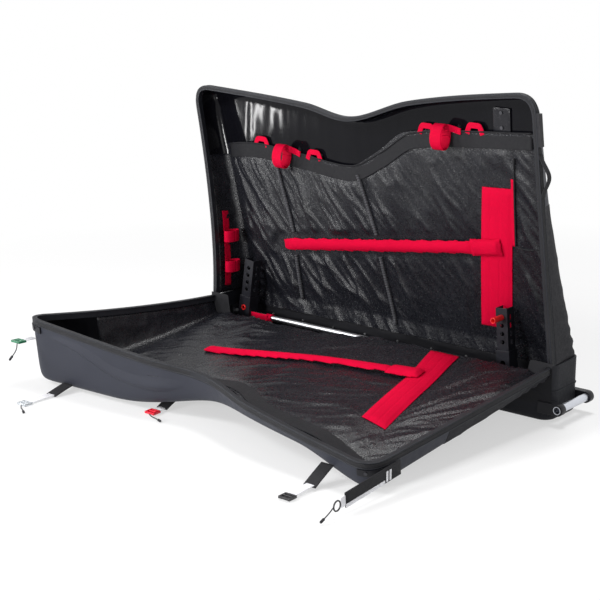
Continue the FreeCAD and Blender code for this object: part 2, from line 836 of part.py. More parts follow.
def hem(half, x):
    """Height of the lining's upper edge at x."""
    share = x / HALF_LENGTH
    for (x0, h0), (x1, h1) in zip(half.hem_shares, half.hem_shares[1:]):
        if share <= x1:
            break
    return z.left_height * (h0 + (h1 - h0) * smooth((share - x0) / (x1 - x0)))


def fold(x, h):
    """Main folds of the hanging cloth."""
    share = x / HALF_LENGTH
    rise = smooth((share - FOLD_START_SHARE) / FOLD_EASE_SHARE)
    fall = smooth((FOLD_END_SHARE - share) / FOLD_EASE_SHARE)
    phase = 2 * math.pi * (x - FOLD_SLANT_SHARE * h) / z.fold_pitch
    return z.liner_fold * math.sin(phase) * rise * fall


def lining_ends(h):
    """x of the two side edges of a lining."""
    inset = z.wall_draft + z.edge_radius
    return left_edge(h) + inset, right_edge(h) - inset


def lining(half, x, h):
    """Depth of a lining's back face before its folds."""
    low, high = lining_ends(h)
    ease = smooth(min(x - low, high - x) / z.liner_ease)
    depth = half.depth(x, h) - z.fabric_wall - z.liner_seat - (z.liner_gap - z.liner_seat) * ease
    if half is FRONT:
        share = x / HALF_LENGTH
        rise = smooth((share - HUMP_START_SHARE) / (HUMP_END_SHARE - HUMP_START_SHARE))
        fall = 1 - smooth(h / z.hump_reach)
        depth -= (depth - z.hump_depth) * rise * fall * ease
    return depth


def lining_face(half, x, h):
    """Depth of a lining's front face, folds and all."""
    return lining(half, x, h) - fold(x, h) - z.liner_fold - z.liner_thick


def lining_solid(half, bottom):
    """Sheet of lining from a bottom edge up to the hem."""
    back = []
    front = []
    for share in spread(0, 1, LINING_COLUMNS):
        back_row = []
        front_row = []
        for climb in spread(0, 1, LINING_ROWS):
            low, high = lining_ends(z.cap_start * climb)
            x = low + (high - low) * share
            h = bottom + (hem(half, x) - bottom) * climb
            low, high = lining_ends(h)
            x = low + (high - low) * share
            depth = lining_face(half, x, h)
            back_row.append(spot(half, x, h, depth + z.liner_thick))
            front_row.append(spot(half, x, h, depth))
        back.append(back_row)
        front.append(front_row)
    return slab(back, front)


REAR.liner = lining_solid(REAR, -z.hem_drop)
FRONT.liner = lining_solid(FRONT, z.front_liner_start)
formed("rear_liner", REAR.liner, REAR.place)
formed("front_liner", FRONT.liner, FRONT.place)


def settle(half, shape, *under):
    """Move a piece of a half straight onto what lies under it."""
    gap = shape.distToShape(Part.Compound([half.liner, *under]))[0]
    way = FreeCAD.Matrix()
    way.move(Vec(0, half.side * (gap - z.seam), 0))
    return shape.transformed(way, copy=True)


# Red pads and the piped channels, laid on the linings
PAD_ROWS = 13
PAD_COLUMNS = 5
PAD_EDGE_SHARE = 0.45
PAD_FACE = 2 * z.liner_fold + z.liner_thick + z.pad_gap


def between(first, second, share):
    """Point part of the way from one point to another."""
    return [a + (b - a) * share for a, b in zip(first, second)]


def pad_solid(half, corners, lifts, thick, seat_depth=lining):
    """Crowned pad over a lining, from the two corners of one end to those of the other."""
    back = []
    front = []
    for along in spread(0, 1, PAD_ROWS):
        low = between(corners[0], corners[2], along)
        high = between(corners[1], corners[3], along)
        lift = lifts[0] + (lifts[1] - lifts[0]) * smooth(along)
        back_row = []
        front_row = []
        for across in spread(0, 1, PAD_COLUMNS):
            x, h = between(low, high, across)
            depth = seat_depth(half, x, h) - lift
            crown = 1 - (2 * across - 1) ** 2
            bulge = thick * (PAD_EDGE_SHARE + (1 - PAD_EDGE_SHARE) * crown)
            back_row.append(spot(half, x, h, depth))
            front_row.append(spot(half, x, h, depth - bulge))
        back.append(back_row)
        front.append(front_row)
    return slab(back, front)


def bar_corners(start, end, width):
    """Corners of a straight bar from its middle line."""
    run = [b - a for a, b in zip(start, end)]
    length = math.hypot(*run)
    side = (-run[1] / length * width / 2, run[0] / length * width / 2)
    return [[p + sign * q for p, q in zip(point, side)] for point in (start, end) for sign in (1, -1)]


def at_shares(*shares):
    """Points of a half from shares of its half length and its left height."""
    return [(HALF_LENGTH * x, z.left_height * h) for x, h in shares]


def red_set(half, name, panel_shares, bar_shares):
    """Padded panel, padded bar across it and the cuff that holds the bar."""
    flat = pad_solid(half, at_shares(*panel_shares), (PAD_FACE, PAD_FACE), z.pad_panel_thick)
    panel = settle(half, flat)
    formed(f"{name}_pad_panel", panel, half.place)
    start, end = at_shares(*bar_shares)
    length = math.dist(start, end)
    joint = between(start, end, 1 - (z.cuff_length + z.seam) / length)
    cuff_start = between(start, end, 1 - z.cuff_length / length)
    over = PAD_FACE + z.pad_panel_thick + z.pad_gap
    bar = pad_solid(half, bar_corners(start, joint, z.pad_bar_width), (PAD_FACE, over), z.pad_bar_thick)
    formed(f"{name}_pad_bar", bar, half.place)
    cuff = pad_solid(half, bar_corners(cuff_start, end, z.cuff_width), (over, over), z.cuff_thick)
    formed(f"{name}_bar_cuff", settle(half, cuff, panel), half.place)


REAR_PANEL_SHARES = ((0.497, 0.057), (0.667, 0.063), (0.572, 0.696), (0.742, 0.705))
REAR_BAR_SHARES = ((-0.685, 0.265), (0.662, 0.44))
FRONT_PANEL_SHARES = ((0.388, 0.03), (0.542, 0.03), (0.562, 0.741), (0.683, 0.741))
FRONT_BAR_SHARES = ((-0.68, 0.388), (0.52, 0.276))
red_set(REAR, "rear", REAR_PANEL_SHARES, REAR_BAR_SHARES)
red_set(FRONT, "front", FRONT_PANEL_SHARES, FRONT_BAR_SHARES)

BATTEN_SHARES = (
    ((-0.705, 0.64), (-0.614, 0.332)),
    ((-0.608, 0.222), (-0.595, 0.003)),
    ((-0.16, 0.665), (-0.067, 0.394)),
    ((-0.055, 0.292), (-0.007, -0.03)))
battens = []
for shares in BATTEN_SHARES:
    corners = bar_corners(*at_shares(*shares), z.batten_width)
    lift = z.batten_thick + z.liner_thick
    battens.append(settle(REAR, pad_solid(REAR, corners, (lift, lift), z.batten_thick, lining_face)))
formed("liner_battens", Part.Compound(battens), REAR.place)

# Webbing loops


def ring_solid(centre, axis, across, tall, width):
    """Band of webbing bent to an oval ring, from the middle of its width."""
    normal = Vec(1, 0, 0) if axis == "x" else Vec(0, 0, 1)
    upright_way = Vec(0, 0, 1) if axis == "x" else Vec(0, 1, 0)
    start = centre - normal * (width / 2)
    rings = []
    for inset in (0, z.loop_band):
        long, short = sorted((tall - inset, across - inset), reverse=True)
        long_way = upright_way if tall > across else normal.cross(upright_way)
        oval = Part.Ellipse(start + long_way * long, start + normal.cross(long_way) * short, start)
        rings.append(Part.Face(Part.Wire(oval.toShape())).extrude(normal * width))
    return rings[0].cut(rings[1])


def hung_loop(x_share, drop):
    """Wheel loop that hangs in front of the lining from its hem."""
    x = HALF_LENGTH * x_share
    h = hem(REAR, x) - drop
    centre = spot(REAR, x, h, lining_face(REAR, x, h) - 2 * z.loop_across)
    return settle(REAR, ring_solid(centre, "x", z.loop_across, z.loop_tall, z.loop_width))


WHEEL_LOOP_SHARES = (-0.632, 0.382)
wheel_loops = [hung_loop(share, z.loop_drop) for share in WHEEL_LOOP_SHARES]
formed("wheel_loops", Part.Compound(wheel_loops), REAR.place)

HANGER_X_SHARES = (-0.823, -0.45, 0.268, 0.545)
HANGER_TOP_SHARE = 0.3
HANGER_BAND_SHARE = 0.45


def arch(x, h, depth):
    """Flat loop of webbing that stands above the hem."""
    half = z.hanger_width / 2
    top = half * (1 - HANGER_TOP_SHARE)
    band = z.hanger_height * HANGER_BAND_SHARE
    outline = (
        (-half, 0),
        (-top, z.hanger_height),
        (top, z.hanger_height),
        (half, 0),
        (half - band, 0),
        (top - band / 2, z.hanger_height - band),
        (band / 2 - top, z.hanger_height - band),
        (band - half, 0))
    corners = [Vec(x + across, depth, h + up) for across, up in outline]
    face = Part.Face(Part.makePolygon(corners + corners[:1]))
    return face.extrude(Vec(0, -z.web_thick, 0))


hangers = []
for share in HANGER_X_SHARES:
    x = HALF_LENGTH * share
    h = hem(REAR, x) - z.hanger_sink
    base = spot(REAR, x, h, lining_face(REAR, x, h) - z.hanger_height)
    hangers.append(settle(REAR, arch(x, h, base.y)))
formed("hanger_loops", Part.Compound(hangers), REAR.place)

# Red strap on the left end wall, with two loops on it
STRAP_ROWS = 5
SIDE_LOOP_SHARES = (0.68, 0.28)


def wall_face(h, depth):
    """x of the inner face of the rear half's left end wall."""
    at = station(left_edge(h), h, 0)
    outside, inside = wall_profile(edge_depth(REAR, at), z.fabric_wall)
    share = (depth - RIM_BACK) / (outside[2][1] - RIM_BACK)
    return at.x + z.fabric_wall + z.wall_draft * share + z.wall_gap


wall_back = []
wall_front = []
for h in spread(z.side_strap_start, z.side_strap_start + z.side_strap_length, STRAP_ROWS):
    edges = (z.side_strap_depth, z.side_strap_depth + z.side_strap_width)
    rows = [(depth, wall_face(h, depth)) for depth in edges]
    wall_back.append([spot(REAR, x, h, depth) for depth, x in rows])
    wall_front.append([point + Vec(z.web_thick, 0, 0) for point in wall_back[-1]])
side_pieces = [slab(wall_back, wall_front)]
for share in SIDE_LOOP_SHARES:
    h = z.side_strap_start + z.side_strap_length * share
    depth = z.side_strap_depth + z.side_strap_width / 2
    wall = wall_face(h - z.loop_width / 2, depth)
    x = wall + z.web_thick + z.seam + z.side_loop_across
    centre = Vec(x, spot(REAR, x, h, depth).y, h)
    side_pieces.append(ring_solid(centre, "h", z.side_loop_across, z.side_loop_tall, z.loop_width))
formed("side_strap", Part.Compound(side_pieces), REAR.place)

# Plate with two rivets inside the hard shell
PLATE_SPOT_SHARES = (0.688, 0.987)
RIVET_SHARES = (-0.3, 0.3)
plate_x = HALF_LENGTH * PLATE_SPOT_SHARES[0]
plate_h = z.left_height * PLATE_SPOT_SHARES[1]
plate_back = []
plate_front = []
for x in spread(plate_x - z.plate_width / 2, plate_x + z.plate_width / 2, 3):
    row = spread(plate_h - z.plate_height / 2, plate_h + z.plate_height / 2, 3)
    plate_back.append([spot(REAR, x, h, rear_depth(x, h) - z.cap_wall - z.seam) for h in row])
    plate_front.append([point - Vec(0, z.plate_thick, 0) for point in plate_back[-1]])
formed("cap_plate", slab(plate_back, plate_front), REAR.place)
rivets = []
for share in RIVET_SHARES:
    h = plate_h + z.plate_height * share
    foot = spot(REAR, plate_x, h, rear_depth(plate_x, h) - z.cap_wall - z.plate_thick - z.seam - z.pad_gap)
    rivets.append(Part.makeCylinder(z.rivet_radius, z.rivet_head, foot, Vec(0, -1, 0)))
formed("cap_rivets", Part.Compound(rivets), REAR.place)

# Carry handle and buckle on the right edge of the rear rim
EDGE_DEPTH = z.rim_gap / 2 + z.rim_depth / 2
BOW_STEPS = 9


def edge_strip(start, length, width, thick, rise):
    """Strip along the right edge that bows out between its ends."""
    inner = []
    outer = []
    for share in spread(0, 1, BOW_STEPS):
        h = start + length * share
        x = right_edge(h) + z.seam + rise * smooth(2 * min(share, 1 - share))
        row = [spot(REAR, x, h, EDGE_DEPTH + side * width / 2) for side in (-1, 1)]
        inner.append(row)
        outer.append([point + Vec(thick, 0, 0) for point in row])
    return slab(inner, outer)


handle_start = z.right_height - z.handle_drop
handle = edge_strip(handle_start, z.handle_length, z.handle_width, z.handle_thick, z.handle_rise)
formed("end_handle", handle, REAR.place)
buckle_start = z.right_height - z.end_buckle_drop
buckle = edge_strip(buckle_start, z.end_buckle_length, z.handle_width, z.end_buckle_thick, 0)
formed("end_buckle", buckle, REAR.place)

# Corner guards on the front shell


def wall_inset(at, depth):
    """How far a front wall's outer face draws in at a depth."""
    outside, inside = wall_profile(edge_depth(FRONT, at), z.cap_wall)
    return z.wall_draft * (depth - RIM_BACK) / (outside[2][1] - RIM_BACK)


def seat(piece, guess, gap):
    """Point just outside a piece, nearest to a guess, and the way out of it."""
    point = piece.Shape.distToShape(Part.Vertex(guess))[1][0][0]
    way = (guess - point).normalize()
    return point + way * gap, way


def guard_solid(path):
    """Moulded patch over a corner, just below the rim."""
    depths = spread(RIM_BACK + z.seam, RIM_BACK + z.seam + z.guard_width, 3)
    insets = (
        lambda at, depth: wall_inset(at, depth) - z.pad_gap,
        lambda at, depth: wall_inset(at, depth) - z.pad_gap - z.guard_thick)
    return band(FRONT, path, insets, depths)


corner_path = rim_path(z.cap_start)
left_corner = corner_path[EDGE_STEPS - 1:EDGE_STEPS + CORNER_STEPS - 1]
right_corner = corner_path[-EDGE_STEPS - CORNER_STEPS + 2:1 - EDGE_STEPS]
corner_heads = []
for name, path in (("left", left_corner), ("right", right_corner)):
    guard = formed(f"corner_guard_{name}", guard_solid(path), FRONT.place)
    for at in (path[1], path[-2]):
        depth = RIM_BACK + z.seam + z.guard_width / 2
        reach = z.guard_thick + z.seat_reach
        outside = FRONT.place.multVec(spot(FRONT, at.x - at.nx * reach, at.h - at.nh * reach, depth))
        foot, way = seat(guard, outside, z.seam)
        corner_heads.append(Part.makeCylinder(z.rivet_radius, z.rivet_head, foot, way))
formed("corner_rivets", Part.Compound(corner_heads))

# Closing straps: a black sleeve from the shell, then webbing and an end fitting
STRAP_SHARES = {
    "green": SimpleNamespace(x=-1.2, seat=0.86, gap=1.24, knee=0.86, tip=0.87, sleeve=0, web=0.5),
    "clear": SimpleNamespace(x=-0.983, seat=0.03, gap=0.5, knee=0.025, tip=0.03, sleeve=0.8, web=1.0),
    "red": SimpleNamespace(x=-0.437, seat=0.0, gap=1.32, knee=0.045, tip=0.042, sleeve=0.5, web=0.25),
    "black": SimpleNamespace(x=0.662, seat=0.22, gap=1.05, knee=0.05, tip=0.042, sleeve=0.85, web=0.8),
    "ring": SimpleNamespace(x=0.92, seat=0.31, gap=0.5, knee=0.2, tip=0.185, sleeve=2.6, web=0.2),
}
RING_SEAT_SHARE = 0.85


def strap_box(name, start, end, across, width, thick):
    """Flat strap between two points, lying across a given direction."""
    run = (end - start).normalize()
    up = run.cross(across).normalize()
    side = up.cross(run)
    obj = doc.addObject("Part::Box", name)
    obj.Length = (end - start).Length
    obj.setExpression("Width", linked(width))
    obj.setExpression("Height", linked(thick))
    corner = start - side * (getattr(z, width) / 2) - up * (getattr(z, thick) / 2)
    obj.Placement = Place(corner, Turn(run, side, up, "XYZ"))
    return obj


def fitting(name, start, run, across):
    """Buckle at the end of a strap."""
    up = run.cross(across).normalize()
    side = up.cross(run)
    body = block(
        f"{name}_body",
        ("buckle_length", "buckle_width", "buckle_thick"),
        ("0", "-buckle_width / 2", "-buckle_thick / 2"))
    obj = rounded(name, body, z.buckle_corner, upright)
    obj.Placement = Place(start, Turn(run, side, up, "XYZ"))
    return obj


sleeves = []
webs = []
tips = {}
for name, strap in STRAP_SHARES.items():
    x = HALF_LENGTH * strap.x
    if name == "ring":
        across = Vec(0, 0, 1)
        h = z.right_height * RING_SEAT_SHARE
        guess = Vec(right_edge(h) + z.seat_reach, HINGE_Y - h, z.hinge_height * strap.seat)
        clear = z.guard_thick + z.rivet_head + z.seam
    else:
        across = Vec(1, 0, 0)
        reach = -z.low_seat_inset if strap.seat == 0 else z.seat_reach
        guess = Vec(x, HINGE_Y - top_edge(x) - reach, z.hinge_height * strap.seat)
        clear = 0
    root = seat(front_cap, guess, clear + z.sleeve_thick * strap.gap)[0]
    knee = Vec(root.x, root.y - z.sleeve_length * strap.sleeve, z.hinge_height * strap.knee)
    tip = Vec(knee.x, knee.y - z.strap_length * strap.web, z.hinge_height * strap.tip)
    run = (tip - knee).normalize()
    if strap.sleeve:
        sleeves.append(strap_box(f"sleeve_{name}", root, knee, across, "sleeve_width", "sleeve_thick"))
        bend = (knee - root).getAngle(run)
        edge = z.strap_width / 2 if name == "ring" else z.strap_thick / 2
        knee += run * (z.seam / math.cos(bend) + edge * math.tan(bend))
    webs.append(strap_box(f"web_{name}", knee, tip, across, "strap_width", "strap_thick"))
    tips[name] = SimpleNamespace(point=tip + run * z.seam, run=run, across=across)
keep(group("sleeves", *sleeves), "strap_sleeves")
keep(group("webs", *webs), "strap_webs")
for name in ("green", "clear", "red", "black"):
    end = tips[name]
    keep(fitting(f"fitting_{name}", end.point, end.run, end.across), f"buckle_{name}")
ring = doc.addObject("Part::Torus", "ring")
ring.setExpression("Radius1", "Size.ring_radius")
ring.setExpression("Radius2", "Size.ring_wire / 2")
ring.Placement = Place(tips["ring"].point + tips["ring"].run * (z.ring_radius + z.ring_wire / 2), ALONG_X)
keep(ring, "strap_ring")

# Cord pulls: routes in millimetres, each from its fitting to its end bead
TURN_SHARE = 0.45
PULLS = {
    "green": ((-711, -768, 135.6), (-711, -769, 123), (-712, -775, 111), (-715, -783, 101)),
    "clear": ((-585, -866.8, 4.8), (-573, -879, 3.6), (-558, -886, 3.8), (-544, -895, 4.4)),
    "red": ((-262, -697.5, 4.8), (-247, -705, 3.4), (-230, -708, 3.8), (-213, -714, 4.4)),
    "ring": ((555, -936.5, 27), (555, -945.8, 21), (555, -956.8, 16), (556, -968.8, 12.5)),
}


def cord_path(points):
    """Straight runs joined by the largest arcs that fit, with the arcs' radii."""
    edges = []
    radii = []
    last = points[0]
    for before, corner, after in zip(points, points[1:], points[2:]):
        back = (before - corner).normalize()
        ahead = (after - corner).normalize()
        half_turn = (math.pi - back.getAngle(ahead)) / 2
        reach = TURN_SHARE * min(before.distanceToPoint(corner), corner.distanceToPoint(after))
        radius = reach / math.tan(half_turn)
        start = corner + back * reach
        end = corner + ahead * reach
        inward = (back + ahead).normalize()
        middle = corner + inward * (radius / math.cos(half_turn) - radius)
        edges.append(Part.LineSegment(last, start).toShape())
        edges.append(Part.Arc(start, middle, end).toShape())
        radii.append(round(radius, 1))
        last = end
    edges.append(Part.LineSegment(last, points[-1]).toShape())
    return Part.Wire(edges), radii


beads = []
for name, route in PULLS.items():
    points = [Vec(*point) for point in route]
    path, radii = cord_path(points)
    first = (points[1] - points[0]).normalize()
    section = Part.Wire(Part.makeCircle(z.pull_diameter / 2, points[0], first))
    tube = path.makePipeShell([section], True, False)
    expected = math.pi * (z.pull_diameter / 2) ** 2 * path.Length
    share = round(tube.Volume / expected, 4)
    print("pull", name, "length", round(path.Length, 1), "radii", radii, "volume share", share)
    formed(f"pull_{name}", tube)
    heading = (points[-1] - points[-2]).normalize()
    beads.append(Part.makeCylinder(z.bead_radius, z.bead_length, points[-1], heading))
formed("pull_beads", Part.Compound(beads))

doc.recompute()
broken = [obj.Name for obj in doc.Objects if {"Invalid", "Error"} & set(obj.State)]
assert not broken, f"failed objects: {broken}"
for obj in nodes:
    assert not obj.Shape.isNull() and obj.Shape.isValid(), f"bad shape: {obj.Label}"

os.makedirs("parts", exist_ok=True)
for obj in nodes:
    obj.Shape.exportStep(f"parts/{obj.Label}.step")
    print(obj.Label, len(obj.Shape.Solids), round(obj.Shape.Volume / 1e6, 3))
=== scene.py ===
import math
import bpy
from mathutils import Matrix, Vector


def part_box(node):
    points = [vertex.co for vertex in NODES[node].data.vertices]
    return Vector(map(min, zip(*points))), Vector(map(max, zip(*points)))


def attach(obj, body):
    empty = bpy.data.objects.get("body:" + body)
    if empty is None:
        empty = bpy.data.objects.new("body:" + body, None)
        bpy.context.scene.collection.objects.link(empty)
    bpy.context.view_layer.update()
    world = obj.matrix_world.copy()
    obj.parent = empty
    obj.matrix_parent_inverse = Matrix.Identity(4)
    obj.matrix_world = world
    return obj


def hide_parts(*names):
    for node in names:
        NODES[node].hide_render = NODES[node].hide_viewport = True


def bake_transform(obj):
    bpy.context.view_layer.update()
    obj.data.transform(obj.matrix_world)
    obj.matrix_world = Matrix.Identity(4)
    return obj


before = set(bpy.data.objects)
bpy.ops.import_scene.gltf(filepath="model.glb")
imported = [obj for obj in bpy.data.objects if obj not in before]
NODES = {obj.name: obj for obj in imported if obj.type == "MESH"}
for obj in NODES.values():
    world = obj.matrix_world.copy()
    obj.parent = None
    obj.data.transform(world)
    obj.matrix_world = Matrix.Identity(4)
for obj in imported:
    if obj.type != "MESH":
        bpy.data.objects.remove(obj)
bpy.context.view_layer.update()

from types import SimpleNamespace

import bmesh
import bpy
from mathutils import Matrix, Vector, noise

MM = 0.001
SCENE = bpy.context.scene
X_AXIS, Y_AXIS, Z_AXIS = Vector((1, 0, 0)), Vector((0, 1, 0)), Vector((0, 0, 1))
FULL_TURN = 2 * math.pi

# Outline of the two halves in millimetres, as in part.py: x along the hinge, h above it

HINGE_Y, HINGE_Z = -80, 160
HALF_LENGTH, LEFT_TOP, RIGHT_TOP = 600, -748, 542
LEFT_HEIGHT, RIGHT_HEIGHT = 634, 710
TOP_KNOTS = ((LEFT_TOP, LEFT_HEIGHT), (-271, 613), (-111, 589), (125, 653), (RIGHT_TOP, RIGHT_HEIGHT))
TOP_SLOPES = (-0.04, -0.075, 0.0, 0.2, 0.11)
LEFT_BOW = 1.6
LEFT_CORNER, RIGHT_CORNER = 75, 65
TWIST = 68
FRONT_DROP, FLOOR_GAP = 2.4, 0.5
FRONT_HINGE_DEPTHS, FRONT_WAIST = (60, 36), 0.63
REAR_TOP_DEPTHS, REAR_HINGE_DEPTH = (78, 42), 156
CAP_START = 420
RIM_BACK = 18.8
DRAFT, EDGE_RADIUS, SHELL_WALL = 8, 28, 5
LINING_EASE, LINING_GAP, LINING_DROP, LINING_THICK = 60, 5.6, 3.4, 3.5
HUMP_HEIGHT, HUMP_DEPTH = 220, 24
HEM_SHARES = {
    "rear": ((-1.24, 0.683), (-0.898, 0.737), (-0.518, 0.718), (-0.197, 0.702),
             (-0.008, 0.785), (0.183, 0.888), (0.863, 0.951)),
    "front": ((-1.24, 0.683), (-0.898, 0.737), (-0.518, 0.718), (-0.25, 0.735),
              (-0.05, 0.81), (0.18, 0.945), (0.863, 1.03)),
}


def smooth(share):
    share = min(max(share, 0), 1)
    return share * share * (3 - 2 * share)


def spread(low, high, count):
    return [low + (high - low) * step / (count - 1) for step in range(count)]


def mix(first, second, share):
    return first + (second - first) * share


def left_edge(h):
    return -HALF_LENGTH + (LEFT_TOP + HALF_LENGTH) * (max(h, 0) / LEFT_HEIGHT) ** LEFT_BOW


def right_edge(h):
    return HALF_LENGTH - (HALF_LENGTH - RIGHT_TOP) * max(h, 0) / RIGHT_HEIGHT


def knot_before(knots, x):
    return max(index for index in range(len(knots) - 1) if index == 0 or x >= knots[index][0])


def between(x, first, second, slopes):
    """Height at x on a smooth curve between two knots."""
    (x0, h0), (x1, h1) = first, second
    u = (x - x0) / (x1 - x0)
    swing = (u ** 3 - 2 * u * u + u) * slopes[0] + (u ** 3 - u * u) * slopes[1]
    return mix(h0, h1, smooth(u)) + (x1 - x0) * swing


def top_edge(x):
    x = min(max(x, LEFT_TOP), RIGHT_TOP)
    index = knot_before(TOP_KNOTS, x)
    return between(x, *TOP_KNOTS[index:index + 2], TOP_SLOPES[index:index + 2])


def twist(x, h):
    return TWIST * (x / LEFT_TOP) * (h / LEFT_HEIGHT)


def front_depth(x, h):
    share = x / HALF_LENGTH
    dive = smooth((share + 0.7) / 0.91)
    climb = smooth((share - 0.5) / 0.37)
    drop = math.radians(FRONT_DROP)
    top = top_edge(x)
    floor = (HINGE_Z - FLOOR_GAP - top * math.sin(drop)) / math.cos(drop) + twist(x, top)
    hinge = mix(*FRONT_HINGE_DEPTHS, smooth(share))
    return mix(hinge, floor * (1 - FRONT_WAIST * (dive - climb)), max(h, 0) / top)


def rear_depth(x, h):
    top = mix(*REAR_TOP_DEPTHS, (x - LEFT_TOP) / (RIGHT_TOP - LEFT_TOP))
    return top + (REAR_HINGE_DEPTH - top) * max(1 - max(h, 0) / top_edge(x), 0) ** 1.5


REAR = SimpleNamespace(side=1, turn=math.radians(-1), depth=rear_depth, body="rear_half", name="rear")
FRONT = SimpleNamespace(
    side=-1, turn=math.radians(90 + FRONT_DROP), depth=front_depth, body="front_half", name="front")


def spot(half, x, h, depth):
    """Point of a half in metres, depth away from the mating surface."""
    y = twist(x, h) + half.side * depth
    c, s = math.cos(half.turn), math.sin(half.turn)
    return Vector((x, HINGE_Y + y * c - h * s, HINGE_Z + y * s + h * c)) * MM


for half in (REAR, FRONT):
    half.inward = (spot(half, 0, 0, 0) - spot(half, 0, 0, 1)).normalized()
    half.up = (spot(half, 0, 1, 0) - spot(half, 0, 0, 0)).normalized()


def rim_path(start, edge_steps=26, top_steps=90, corner_steps=14):
    """Stations (x, h, inward x, inward h) from the left edge, over the top, to the right edge."""
    left_end, right_end = LEFT_HEIGHT - LEFT_CORNER, RIGHT_HEIGHT - RIGHT_CORNER
    low, high = LEFT_TOP + LEFT_CORNER, RIGHT_TOP - RIGHT_CORNER
    path = [(left_edge(h), h, 0) for h in spread(start, left_end, edge_steps)]
    ends = (left_edge(left_end), left_end), (LEFT_TOP, LEFT_HEIGHT), (low, top_edge(low))
    path += [bend(ends, share) + (-90 * share,) for share in spread(0, 1, corner_steps)[1:-1]]
    path += [(x, top_edge(x), -90) for x in spread(low, high, top_steps)]
    ends = (high, top_edge(high)), (RIGHT_TOP, RIGHT_HEIGHT), (right_edge(right_end), right_end)
    path += [bend(ends, share) + (-90 - 90 * share,) for share in spread(0, 1, corner_steps)[1:-1]]
    path += [(right_edge(h), h, -180) for h in spread(right_end, start, edge_steps)]
    return [(x, h, math.cos(math.radians(a)), math.sin(math.radians(a))) for x, h, a in path]


def bend(ends, share):
    back = 1 - share
    return tuple(back * back * a + 2 * back * share * c + share * share * b for a, c, b in zip(*ends))


def hem(half, x):
    """Height of a lining's top edge: a smooth curve through the knots."""
    share = x / HALF_LENGTH
    knots = HEM_SHARES[half.name]
    index = knot_before(knots, share)
    first, second = knots[index:index + 2]
    before, after = knots[max(index - 1, 0)], knots[min(index + 2, len(knots) - 1)]
    slopes = [(high[1] - low[1]) / (high[0] - low[0]) for low, high in ((before, second), (first, after))]
    return LEFT_HEIGHT * between(share, first, second, slopes)


def lining_ends(h):
    return left_edge(h) + DRAFT + EDGE_RADIUS, right_edge(h) - DRAFT - EDGE_RADIUS


def lining(half, x, h):
    """Depth of a lining's back before its folds."""
    low, high = lining_ends(h)
    ease = smooth(min(x - low, high - x) / LINING_EASE)
    depth = half.depth(x, h) - LINING_GAP - LINING_DROP * ease
    if half is FRONT:
        hump = smooth((x / HALF_LENGTH + 0.42) / 0.62) * (1 - smooth(h / HUMP_HEIGHT)) * ease
        depth -= (depth - HUMP_DEPTH) * hump
    return depth


def lining_face(half, x, h):
    """Depth of a lining's front, with its main folds."""
    share = x / HALF_LENGTH
    wave = smooth((share + 1) / 0.12) * smooth((0.35 - share) / 0.12)
    fold = 1.5 * math.sin(FULL_TURN * (x - 0.35 * h) / 150) * wave
    return lining(half, x, h) - fold - LINING_THICK


# Materials, all from nodes on the object's own coordinates or UVs


def add(mat, kind, inputs=(), **settings):
    """New shader node with its settings, values and links."""
    step = mat.node_tree.nodes.new("ShaderNode" + kind)
    for key, value in settings.items():
        setattr(step, key, value)
    for key, value in dict(inputs).items():
        if isinstance(value, bpy.types.NodeSocket):
            mat.node_tree.links.new(value, step.inputs[key])
        else:
            step.inputs[key].default_value = value
    return step


def clouds(mat, vector, size, detail=3.0):
    inputs = {"Vector": vector, "Scale": 1 / size, "Detail": detail}
    return add(mat, "TexNoise", inputs).outputs["Fac"]


def ranged(mat, value, low, high, start=0.3, end=0.7):
    inputs = {"Value": value, "From Min": start, "From Max": end, "To Min": low, "To Max": high}
    return add(mat, "MapRange", inputs).outputs["Result"]


def blended(mat, share, first, second):
    inputs = {0: share, 6: first, 7: second}
    return add(mat, "Mix", inputs, data_type="RGBA").outputs[2]


def maths(mat, first, second, operation="ADD"):
    return add(mat, "Math", {0: first, 1: second}, operation=operation).outputs[0]


def ribs(mat, vector, pitch, direction):
    inputs = {"Vector": vector, "Scale": 0.314 / pitch, "Distortion": 0.4, "Detail": 1.0}
    return add(mat, "TexWave", inputs, bands_direction=direction).outputs["Fac"]


def woven(mat, coords, pitch, on_uv):
    """Height of a plain weave."""
    if on_uv:
        flat = coords.outputs["UV"]
        return maths(mat, ribs(mat, flat, pitch, "X"), ribs(mat, flat, 0.7 * pitch, "Y"))
    threads = [ribs(mat, coords.outputs["Object"], pitch, axis) for axis in "XYZ"]
    return maths(mat, maths(mat, threads[0], threads[1]), threads[2])


def rgba(colour, gain=1.0):
    return tuple(min(channel * gain, 1) for channel in colour) + (1,)


SKIN = {}


